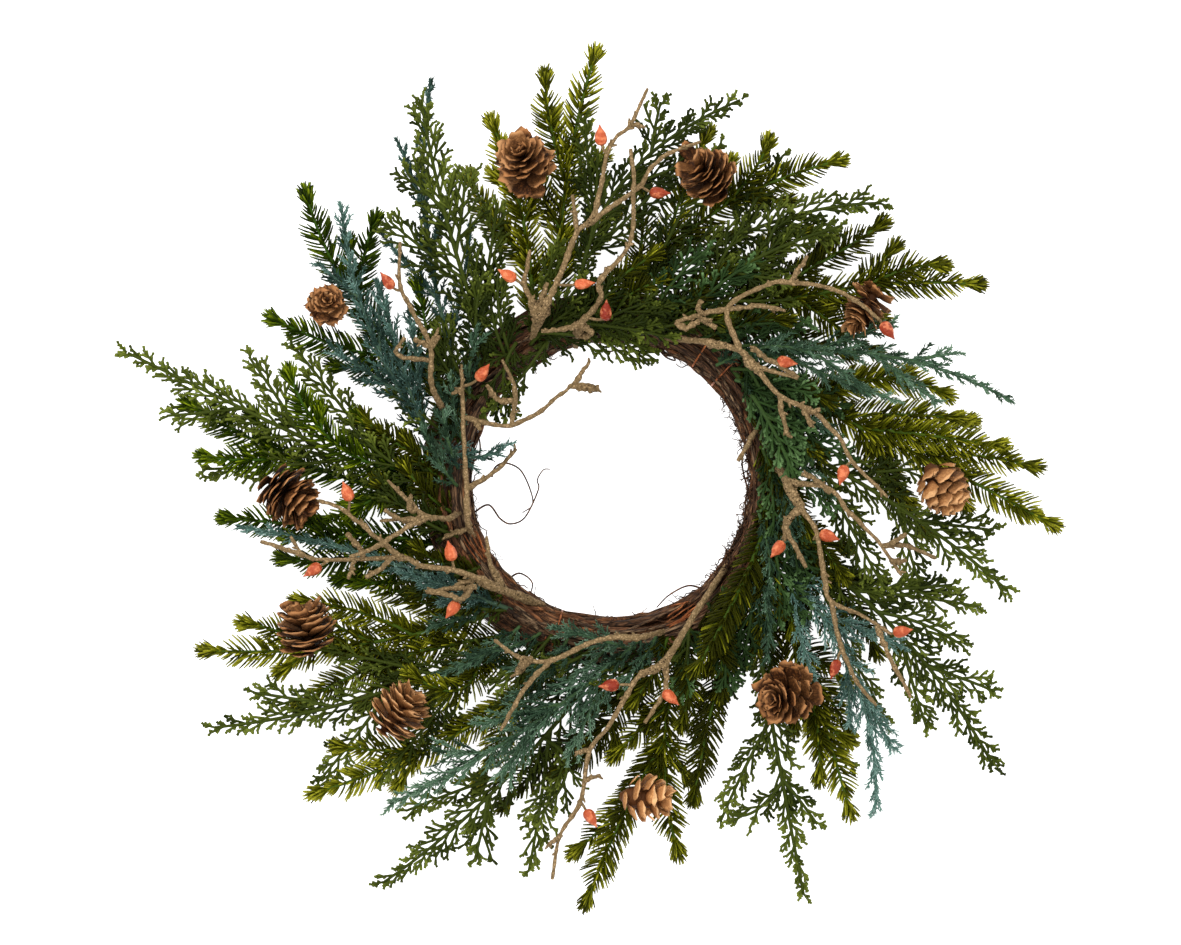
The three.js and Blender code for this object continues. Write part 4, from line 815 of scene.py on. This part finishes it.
twigs = [
    ("twig_01", [
        [(-51, 86, 16), (-45, 104, 50), (-32, 131, 60), (-21, 157, 62), (-12, 165, 62), (-6, 186, 62), (-2, 208, 62),
         (4, 219, 60), (13, 227, 60), (24, 250, 58)],
        [(-12, 165, 62), (18, 187, 62), (32, 205, 62), (58, 216, 60)],
        [(-21, 157, 62), (-24, 182, 60)],
        [(-45, 104, 50), (-54, 124, 58), (-51, 147, 60)],
        [(13, 227, 60), (22, 225, 58)],
    ], [
        [(-45, 108, 52), (-43, 117, 56), (-40, 126, 58)],
    ], [
        ((-2, 208, 62), (-6, 220, 63), (-0.1, 0.99, 0.1), 0.3),
        ((19, 188, 62), (32, 183, 63), (0.99, -0.03, 0.1), 0.8),
        ((-54, 124, 58), (-66, 131, 60), (-0.85, 0.5, 0.14), 0),
    ]),
    ("twig_02", [
        [(-22, 86, 18), (-19, 99, 54), (-6, 115, 68), (-6, 127, 70), (12, 150, 71), (15, 186, 71), (13, 211, 68)],
        [(-19, 99, 54), (-32, 96, 58), (-44, 95, 58)],
    ], [
        [(-20, 92, 42), (-12, 93, 50), (-17, 99, 54)],
    ], [
        ((-35, 125, 58), (-16, 125, 70), (0.99, 0.1, 0.1), 0.05),
        ((-15, 104, 58), (-2.6, 108.2, 72.5), (0.05, 0.99, 0.1), 1),
    ]),
    ("twig_03", [
        [(-101, 35, 14), (-113, 59, 54), (-115, 86, 60), (-127, 109, 62), (-134, 125, 62), (-134, 152, 60)],
        [(-113, 76, 58), (-136, 80, 62), (-131, 91, 62)],
        [(-115, 86, 60), (-110, 94, 62)],
    ], [
        [(-115, 85, 60), (-119, 87, 61), (-125, 90, 63)],
        [(-115, 83, 59), (-109, 92, 62)],
    ], [
        ((-134, 121, 62), (-142.4, 127.4, 63.2), (-0.62, 0.78, 0.1), 0.75),
    ]),
    ("twig_04", [
        [(-88, -38, 16), (-91, -26, 37), (-92, -6, 38), (-94, 42, 39), (-95, 74, 42)],
        [(-93, 40, 39), (-63, 35, 42), (-32, 54, 44), (-23, 61, 44), (-7, 58, 42)],
        [(-23, 61, 44), (-13, 76, 44)],
        [(-63, 35, 42), (-61, 58, 42), (-69, 77, 42)],
        [(-92, -6, 38), (-73, 6, 36), (-60, 20, 34)],
        [(-94, 59, 40), (-101, 55, 46)],
    ], [
        [(-91, -31, 30), (-99, -34, 32), (-106, -36, 34)],
        [(-62, 51, 42), (-71, 51, 44), (-79, 61, 46)],
        [(-87, 39, 40), (-83, 32, 43)],
        [(-25, 60, 44), (-16, 59, 44), (-7, 58, 42)],
    ], [
        ((-94, 60, 41), (-81, 69, 47), (0.6, 0.8, 0.1), 0.35),
    ]),
    ("twig_05", [
        [(-42, -81, 14), (-69, -70, 46), (-99, -58, 60), (-122, -54, 62), (-134, -49, 63), (-179, -51, 62),
         (-195, -48, 60), (-204, -36, 58)],
        [(-134, -49, 63), (-154, -32, 64), (-172, -18, 64), (-186, -13, 64)],
        [(-86, -63, 54), (-102, -69, 58), (-118, -71, 60)],
        [(-195, -48, 60), (-223, -39, 58)],
        [(-163, -51, 62), (-167, -63, 60)],
        [(-69, -70, 46), (-77, -51, 42), (-79, -36, 41)],
    ], [
        [(-102, -69, 58), (-94, -69, 60), (-85, -68, 61)],
        [(-117, -71, 60), (-106, -72, 61), (-96, -76, 63), (-91, -73, 64), (-88, -68, 66)],
        [(-139, -49, 63), (-147, -57, 64), (-156, -62, 66)],
        [(-158, -50, 62), (-159, -44, 64), (-168, -34, 67)],
    ], [
        ((-167, -22, 64), (-168, -7, 65), (-0.36, 0.93, 0.1), 0.15),
        ((-179, -51, 62), (-190, -58, 63), (-0.84, -0.54, 0.08), 0.55),
        ((-99, -58, 60), (-102, -45, 62), (-0.22, 0.96, 0.15), 0.05),
        ((-86, -63, 54), (-101, -83, 59), (-0.59, -0.78, 0.2), 0.25),
    ]),
    ("twig_06", [
        [(-95, -20, 15), (-105, -25, 48), (-118, -24, 60), (-147, -26, 60)],
        [(-118, -24, 60), (-134, -33, 70), (-152, -44, 72), (-166, -49, 70)],
        [(-118, -24, 60), (-142, 0, 62)],
    ], [
        [(-124, -18, 61), (-126, -20, 62), (-128, -15, 64), (-127, -10, 65)],
        [(-119, -24, 61), (-128, -26, 62), (-136, -24, 64), (-144, -19, 65)],
    ], []),
    ("twig_07", [
        [(79, -49, 14), (58, -80, 40), (35, -115, 60), (19, -125, 62), (10, -138, 62), (-1, -157, 62), (-13, -172, 62),
         (-19, -205, 60), (-32, -227, 58), (-37, -255, 56)],
        [(35, -115, 60), (35, -134, 62), (22, -155, 62)],
        [(-13, -172, 62), (-22, -174, 60)],
        [(-17, -192, 61), (-6, -188, 60)],
    ], [
        [(-31, -226, 58), (-35, -230, 59), (-39, -232, 60)],
    ], [
        ((15, -131, 62), (-1, -131, 64), (-0.99, -0.1, 0.1), 0.95),
        ((35, -128, 61), (39, -139, 64), (0.74, -0.67, 0.1), 0.25),
        ((-19, -205, 60), (-12, -216, 61), (0.54, -0.84, 0.08), 0.35),
    ]),
    ("twig_08", [
        [(42, -96, 14), (20, -100, 48), (-6, -102, 54), (-38, -115, 60), (-58, -113, 60), (-74, -102, 58)],
        [(-38, -115, 60), (-55, -134, 62), (-70, -160, 62)],
    ], [
        [(-50, -113, 60), (-56, -119, 62), (-60, -124, 63)],
    ], []),
    ("twig_09", [
        [(27, 92, 14), (58, 89, 46), (83, 82, 58), (92, 73, 62), (120, 65, 60)],
        [(92, 73, 62), (108, 54, 62), (129, 44, 62), (147, 26, 63), (154, 12, 63), (177, -11, 62)],
        [(83, 82, 58), (75, 109, 60), (99, 124, 62), (115, 126, 62), (141, 122, 65), (157, 114, 66), (172, 102, 64)],
        [(75, 109, 60), (58, 106, 58), (42, 101, 54)],
        [(75, 109, 60), (96, 111, 60), (112, 108, 60)],
        [(115, 126, 62), (126, 143, 60)],
        [(108, 54, 62), (112, 32, 60), (116, 27, 58)],
    ], [
        [(42, 101, 54), (48, 97, 56), (58, 102, 57), (68, 97, 58)],
        [(56, 105, 58), (60, 102, 59), (63, 102, 61)],
        [(60, 106, 58), (56, 109, 61), (58, 115, 63)],
        [(122, 47, 62), (127, 44, 64), (134, 45, 65)],
        [(125, 46, 62), (124, 44, 64), (127, 38, 65), (128, 34, 66)],
        [(120, 65, 60), (108, 73, 62), (99, 78, 63), (91, 85, 64)],
    ], [
        ((99, 78, 63), (113, 75, 62), (0.98, -0.15, 0.1), 0.5),
        ((172, 102, 64), (177.3, 95, 64), (0.6, -0.8, 0), 0.85),
        ((154, 12, 63), (148, 3, 65), (-0.27, -0.96, 0.1), 0.3),
    ]),
    ("twig_10", [
        [(105, 15, 14), (113, -1, 50), (122, -18, 58), (131, -33, 62), (136, -64, 62), (141, -77, 62), (160, -86, 60),
         (179, -98, 58)],
        [(141, -77, 62), (146, -102, 60), (157, -128, 60), (170, -144, 58)],
        [(122, -18, 58), (112, -27, 56), (112, -38, 56)],
        [(113, -1, 50), (140, -6, 62), (154, -22, 63), (173, -42, 60), (186, -61, 58)],
        [(173, -42, 60), (189, -42, 60), (208, -50, 58)],
        [(170, -93, 59), (178, -112, 58), (192, -139, 56)],
    ], [
        [(100, 38, 22), (94, 32, 27), (88, 22, 28), (82, 12, 27)],
        [(114, -26, 56), (113, -32, 58), (125, -56, 59)],
        [(141, -8, 62), (130, 1, 64), (122, 4, 65)],
        [(179, -51, 59), (183, -52, 62), (189, -51, 64)],
        [(176, -42, 60), (182, -39, 62), (189, -34, 63)],
    ], [
        ((131, -33, 62), (140, -36, 64), (0.93, -0.31, 0.21), 0.45),
        ((112, -38, 56), (106.5, -44.5, 58.2), (-0.62, -0.74, 0.25), 0.3),
        ((179, -98, 58), (187, -96.4, 61.2), (0.91, 0.18, 0.37), 0.45),
        ((148, -108, 60), (143, -121, 61), (-0.36, -0.93, 0.07), 0.9),
    ]),
]

# Porous burls: place over the wreath, how far they swell, and how far they reach along the wood.
burls = np.array([
    (-45, 107, 2.7, 7), (115, -13, 1.9, 10), (106, 10, 1.4, 6), (-77, -67, 1.7, 9), (-56, -76, 1.0, 8),
    (67, 82, 1.2, 8), (90, 74, 2.1, 6), (29, -115, 1.5, 8), (-20, 97, 1.2, 5), (-118, -24, 0.9, 4),
    (-134, -49, 0.9, 4), (-12, 165, 0.9, 4), (-56, -118, 1.3, 5), (-13, 59, 0.8, 7),
])
twig_base, twig_end, stub_end = 2.05, 1.0, 1.3
hip_long, hip_wide = 13.6, 3.8
# Share of the way along a hip, and its half width there.
hip_profile = np.array([
    (0.0, 0.16), (0.03, 0.5), (0.08, 0.74), (0.16, 0.92), (0.26, 1.0), (0.38, 1.0), (0.5, 0.92), (0.62, 0.78),
    (0.73, 0.52), (0.82, 0.32), (0.9, 0.19), (0.96, 0.12), (1.0, 0.05),
])

twig_bark, tree, shader = new_material("twig bark", 0.75, Specular_IOR_Level=0.08)
tone = attribute(tree, "tone")
light = blend(tree, tone, rgb(146, 122, 88), rgb(166, 138, 101))
dark = blend(tree, tone, rgb(96, 78, 52), rgb(112, 92, 62))
colour, height = grain(tree, light, dark, 420.0)
# Pores on the burls, sunk by the bump and painted dark: partly their own colour, partly painted shade inside them.
pores = node(tree, "ShaderNodeTexVoronoi", Vector=object_place(tree), Scale=520.0).outputs["Distance"]
depth = ranged(tree, attribute(tree, "wood"), 0.0, 0.6, 0.25, 1.0)
pit_and_painted_shade = maths(tree, "MULTIPLY", ranged(tree, pores, 0.32, 0.14), depth)
dress(tree, shader, blend(tree, pit_and_painted_shade, colour, rgb(46, 33, 22)), maths(tree, "SUBTRACT", height, pit_and_painted_shade), 0.0005)

hip_skin, tree, shader = new_material("rose hip", 0.42, Specular_IOR_Level=0.2, Coat_Weight=0.06, Coat_Roughness=0.2)
ripe = blend(tree, attribute(tree, "tone"), rgb(190, 90, 50), rgb(122, 32, 8))
# Lighter flesh-coloured blotches: partly the hip's own mottling, partly painted highlight specks.
blotch_and_highlight = ranged(tree, noise(tree, 260.0, 3.0), 0.46, 0.66, 0.0, 0.6)
tail = ranged(tree, attribute(tree, "along"), 0.86, 1.0)
colour = blend(tree, tail, blend(tree, blotch_and_highlight, ripe, rgb(226, 136, 92)), rgb(120, 62, 38))
dress(tree, shader, colour, noise(tree, 520.0, 3.0), 0.0016)


def knobbly(rng, points, base, end):
    """One branch: a rough tube from base to end thickness that wanders a little, swollen at its nodes and at the
    burls that it passes, with ribs that come and go along it. Gives its skin and its path."""
    sides = 12
    path = smooth(points, 14)
    m = len(path)
    run = run_along(path)
    share = run / run[-1]
    path = path + (0.4 * np.sin(np.pi * share) * waves(rng, 3, m, 7, 0.8)).T
    knots = np.arange(rng.uniform(3, 7), run[-1], 8.0)
    swell = (rng.uniform(0.1, 0.45, len(knots)) * np.exp(-(((run[:, None] - knots) / 1.6) ** 2))).sum(1)
    gap = np.hypot(path[:, None, 0] - burls[:, 0], path[:, None, 1] - burls[:, 1])
    burl = (burls[:, 2] * np.exp(-((gap / burls[:, 3]) ** 2))).sum(1)
    radius = (base + (end - base) * share) * (1 + swell + waves(rng, 1, m, 8, 0.06)[0]) + burl
    radius[-1] *= 0.8
    wood = np.clip(burl, 0, 1)
    rough = 1 + (0.07 + 0.1 * wood[:, None]) * rng.standard_normal((1, m, sides))
    rough = rough + 0.05 * rng.standard_normal((1, 1, sides))
    shade = np.clip(rng.normal(0.5, 0.2), 0, 1)
    return tubes(path[None], radius, sides, (0.3, 0.2, 1), rough=rough, tone=shade, wood=wood), path


def buds_of(rng, path):
    """Small buds on a branch, all round it."""
    many = (1, max(2, len(path) // 9))
    place = rng.uniform(0.12, 0.98, many)
    turn, lean = rng.uniform(0, full_turn, many), rng.uniform(0.5, 1.1, many)
    buds, flat, _ = offshoots(path, upward, place, turn, lean, rng.uniform(2.6, 4.6, many), 0.1, 4)
    return blades(buds, flat, [1.05, 1.0, 0.85, 0.5], 7, 1.0, 0.4)


def hip_and_stalk(rng, start, middle, way, ripeness):
    """The skins of a hip, with the dry tail at its tip, and of the stalk that it hangs by."""
    rings, sides = 22, 18
    start, out = np.array(start, float), unit(np.array(way))
    base = middle - out * hip_long / 2
    stalk = smooth([start, (start + base) / 2 + rng.normal(0, 0.3, 3), base + out], 5)
    at, known = np.linspace(0, 1, rings), np.linspace(0, 1, len(hip_profile))
    place, wide = (np.interp(at, known, values) for values in hip_profile.T)
    path = base + out * hip_long * place[:, None]
    lumps = 1 + 0.045 * rng.standard_normal((1, 1, sides)) + 0.02 * rng.standard_normal((1, rings, sides))
    wide = hip_wide * wide * rng.uniform(0.92, 1.05)
    return (
        tubes(path[None], wide, sides, (0.1, 0.3, 1), rough=lumps, tone=ripeness),
        tubes(stalk[None], np.linspace(1.1, 0.8, len(stalk)), 7, (0.2, 0.1, 1), tone=0.3),
    )


for number, (name, branches, stubs, hips) in enumerate(twigs):
    rng = np.random.default_rng(400 + number)
    wood, fruit = [], []
    for order, branch in enumerate(branches + stubs):
        base = 0.6 * twig_base + 0.4 * twig_end if order else twig_base
        skin, path = knobbly(rng, branch, base, twig_end if order < len(branches) else stub_end)
        wood += [skin, buds_of(rng, path)]
    for hip in hips:
        skin, stalk = hip_and_stalk(rng, *hip)
        fruit.append(skin)
        wood.append(stalk)
    piece(name + "_wood", wood, twig_bark, [name])
    if fruit:
        piece(name + "_hips", fruit, hip_skin, [name])

# The cones: open larch cones on woody stalks, each with thin rounded scales in a spiral round a slim core.
# Name, base and tip of the axis, half its width in the CAD, how pale it is, how far its scales have closed (those
# of a closed cone lie flat on it), how much they curl outwards or, below nought, inwards, how many it has, how broad
# they are, and how much wider it spreads than in the CAD.

cones = [
    ("cone_01", (-50, 195, 44), (-58, 210, 68), 15.4, 0.1, 0.0, 0.28, 40, 0.38, 1.14),
    ("cone_02", (72, 188, 44), (54, 202, 60), 16.0, 0.15, 0.0, -0.2, 52, 0.38, 1.06),
    ("cone_03", (170, 120, 38), (155, 99, 46), 12.8, 0.3, 0.0, 0.24, 50, 0.38, 1.06),
    ("cone_04", (201, 12, 52), (225, -22, 50), 14.1, 0.53, 0.45, -0.62, 40, 0.46, 1.08),
    ("cone_05", (122, -134, 44), (102, -140, 66), 17.3, 0.02, 0.0, 0.15, 44, 0.38, 1.07),
    ("cone_06", (8, -202, 48), (40, -205, 54), 14.1, 0.84, 0.46, -0.6, 24, 0.52, 0.98),
    ("cone_07", (-147, -163, 46), (-124, -134, 54), 16.0, 0.5, 0.0, -0.15, 56, 0.34, 1.1),
    ("cone_08", (-191, -113, 46), (-197, -79, 54), 16.0, 0.14, 0.0, -0.25, 54, 0.4, 1.12),
    ("cone_09", (-219, 1, 46), (-193, -20, 56), 16.6, 0.02, 0.0, -0.2, 56, 0.38, 1.07),
    ("cone_10", (-182, 109, 40), (-180, 116, 66), 12.2, 0.12, 0.0, 0.1, 40, 0.36, 1.0),
]

cone_long = 36.0
scale_sides = 8
# Along a scale from the core: the share of the way, its half width, how ragged its sides and its rim are.
scale_u = np.array([0, 0.22, 0.45, 0.66, 0.84, 0.95, 1.0])
scale_petal = np.array([0.3, 0.5, 0.74, 0.93, 1.0, 0.84, 0.5])
scale_uneven = np.array([0, 0, 0.02, 0.05, 0.08, 0.14, 0.18])
scale_rim = np.array([0, 0, 0, 0, 0.15, 0.6, 1.0])
core_shape = np.array([0.4, 0.8, 1.1, 1.15, 1.1, 1.0, 0.9, 0.75, 0.5, 0.25])

cone_scale, tree, shader = new_material("cone scale", 0.6, Specular_IOR_Level=0.12)
tone, along = attribute(tree, "tone"), attribute(tree, "along")
light = blend(tree, tone, rgb(102, 61, 29), rgb(204, 148, 92))
dark = blend(tree, tone, rgb(46, 23, 7), rgb(168, 114, 68))
colour, height = grain(tree, light, dark, 420.0)
edge = blend(tree, tone, rgb(158, 106, 62), rgb(224, 174, 122))
shade = blend(tree, ranged(tree, along, 0.85, 1.0), colour, edge)
# Scales darken towards the core: partly their own darker feet, partly painted shade deep inside the cone.
foot_and_painted_shade = blend(tree, tone, rgb(32, 14, 3), rgb(124, 76, 40))
dress(tree, shader, blend(tree, ranged(tree, along, 0.15, 0.72), foot_and_painted_shade, shade), height, 0.00015)


def cone_scales(rng, base, axis, side, radius, pale, closed, curl, scales, broad):
    """Each scale leaves the core at its own height h and golden angle. Its direction leans by the angle a(u) from
    the tip, more or less of it as the scale curls: P(u) = core + sum of step (sin(a) o + cos(a) axis). It is a
    broad petal, narrow at the core, with an uneven edge. Near the tip of a cone that curls open they are a bud."""
    u = scale_u
    up = np.cross(axis, side)
    h = np.linspace(0.0, 1.0, scales) ** 0.85
    turn = np.arange(scales) * 2.39996 + rng.normal(0, 0.07, scales)
    out = np.cos(turn)[:, None] * side + np.sin(turn)[:, None] * up
    top = 1.0 + 0.8 * max(curl, -0.25) - 0.3 * closed
    away = 1.58 - 0.75 * closed - top * h**1.3 + rng.normal(0, 0.13 - 0.15 * closed, scales)
    away = away[:, None] * (1 + curl * (u - 0.2))
    ends = [0.5, 0.16] if curl > 0 else [0.68, 0.38]
    wanted = radius * np.interp(h, [0, 0.12, 0.35, 0.6, 0.85, 1], [0.75, 0.95, 1.04, 0.92, *ends])
    inside = closed * wanted
    reach = (wanted - inside) / np.sin(away).mean(axis=1) * rng.uniform(0.92, 1.07, scales)
    middle = (away[:, 1:] + away[:, :-1]) / 2
    step = np.stack([np.sin(middle), np.cos(middle)], axis=-1) * reach[:, None, None] * np.diff(u)[:, None]
    run = np.concatenate([np.zeros((scales, 1, 2)), np.cumsum(step, axis=1)], axis=1)
    core = base + axis * (cone_long * (0.07 + 0.66 * h))[:, None] + out * inside[:, None]
    paths = core[:, None] + run[..., :1] * out[:, None] + run[..., 1:] * axis
    width = broad * (0.45 * radius + 0.55 * wanted)[:, None] * rng.uniform(0.85, 1.15, (scales, 1)) * scale_petal
    cupped = np.cos(full_turn * np.arange(scale_sides) / scale_sides) ** 2
    cup = (width[:, :, None] * (0.24 - 0.45 * closed) * cupped)[..., None]
    inward = np.cos(away)[..., None] * out[:, None] * -1 + np.sin(away)[..., None] * axis
    ragged = rng.normal(0, 1 + 2.5 * max(curl, 0), (scales, 1, scale_sides, 1)) * scale_rim[:, None, None]
    forward = unit(paths[:, -1] - paths[:, -2])[:, None, None]
    uneven = 1 + scale_uneven[:, None] * rng.standard_normal((scales, len(u), scale_sides))
    tone = np.clip(pale + rng.normal(0, 0.12, scales), 0, 1)
    skin = tubes(paths, width, scale_sides, np.cross(axis, out), thin=0.07, rough=uneven, tone=tone, along=u)
    skin["points"] += (cup * inward[:, :, None] + ragged * forward).reshape(-1, 3)
    return skin


for number, (name, base, tip, radius, pale, closed, curl, scales, broad, spread) in enumerate(cones):
    rng = np.random.default_rng(500 + number)
    base, tip = np.array(base, float), np.array(tip, float)
    axis = unit(tip - base)
    start = (base + tip) / 2 - axis * cone_long / 2
    side = unit(np.cross(axis, (0.3, 1, 0.2)))
    skin = cone_scales(rng, start, axis, side, radius * spread, pale, closed, curl, scales, broad)
    line = start + axis * np.linspace(0, 0.88, len(core_shape))[:, None] * cone_long
    wide = radius * (0.2 + 0.5 * closed) * core_shape
    # The core is painted in the dark colour of the scales' feet, as painted shade deep inside the cone.
    core = tubes(line[None], wide, 10, side, tone=0.5 * pale, along=0.0)
    piece(name + "_scales", [skin, core], cone_scale, [name])

# The stage: a pale floor, soft light from above and to the left, and the camera looking straight down. Metres.

floor_half, floor_grey, floor_glow, sky = 4, 0.55, 0.95, 1.05
floor_white, tree, shader = new_material("floor", 0.9, Base_Color=(floor_grey, floor_grey, floor_grey, 1),
                                         Emission_Color=(1, 1, 1, 1), Emission_Strength=floor_glow)
mesh = bpy.data.meshes.new("floor")
corners = [(-1, -1), (1, -1), (1, 1), (-1, 1)]
mesh.from_pydata([(x * floor_half, y * floor_half, 0) for x, y in corners], [], [(0, 1, 2, 3)])
mesh.materials.append(floor_white)
floor = bpy.data.objects.new("floor", mesh)
bpy.context.scene.collection.objects.link(floor)

world = bpy.data.worlds.new("studio")
bpy.context.scene.world = world
world.use_nodes = True
world.node_tree.nodes["Background"].inputs["Color"].default_value = (1, 1, 1, 1)
world.node_tree.nodes["Background"].inputs["Strength"].default_value = sky


def lamp(name, place, size, watts):
    """A square area light that faces the wreath."""
    light = bpy.data.lights.new(name, "AREA")
    light.energy = watts
    light.size = size
    made = bpy.data.objects.new(name, light)
    bpy.context.scene.collection.objects.link(made)
    made.rotation_euler = Vector(-np.array(place)).to_track_quat("-Z", "Y").to_euler()
    made.location = place


lamp("key", (-0.7, 1.0, 1.8), 1.1, 34)
lamp("fill", (1.2, -0.6, 1.8), 1.4, 12)

photo_pixels, mm_per_pixel = 1181, 0.64
camera_x, camera_y, camera_z = 0.0005, 0.0033, 6.0
seen_height, sensor = 0.04, 36.0
camera = bpy.data.objects.new("camera", bpy.data.cameras.new("camera"))
camera.data.sensor_width = sensor
camera.data.lens = sensor * (camera_z - seen_height) / (photo_pixels * mm_per_pixel * MM)
camera.data.clip_end = 30
camera.location = (camera_x, camera_y, camera_z)
bpy.context.scene.collection.objects.link(camera)
bpy.context.scene.camera = camera
bpy.context.scene.view_settings.view_transform = "Standard"
bpy.context.scene.view_settings.look = "None"
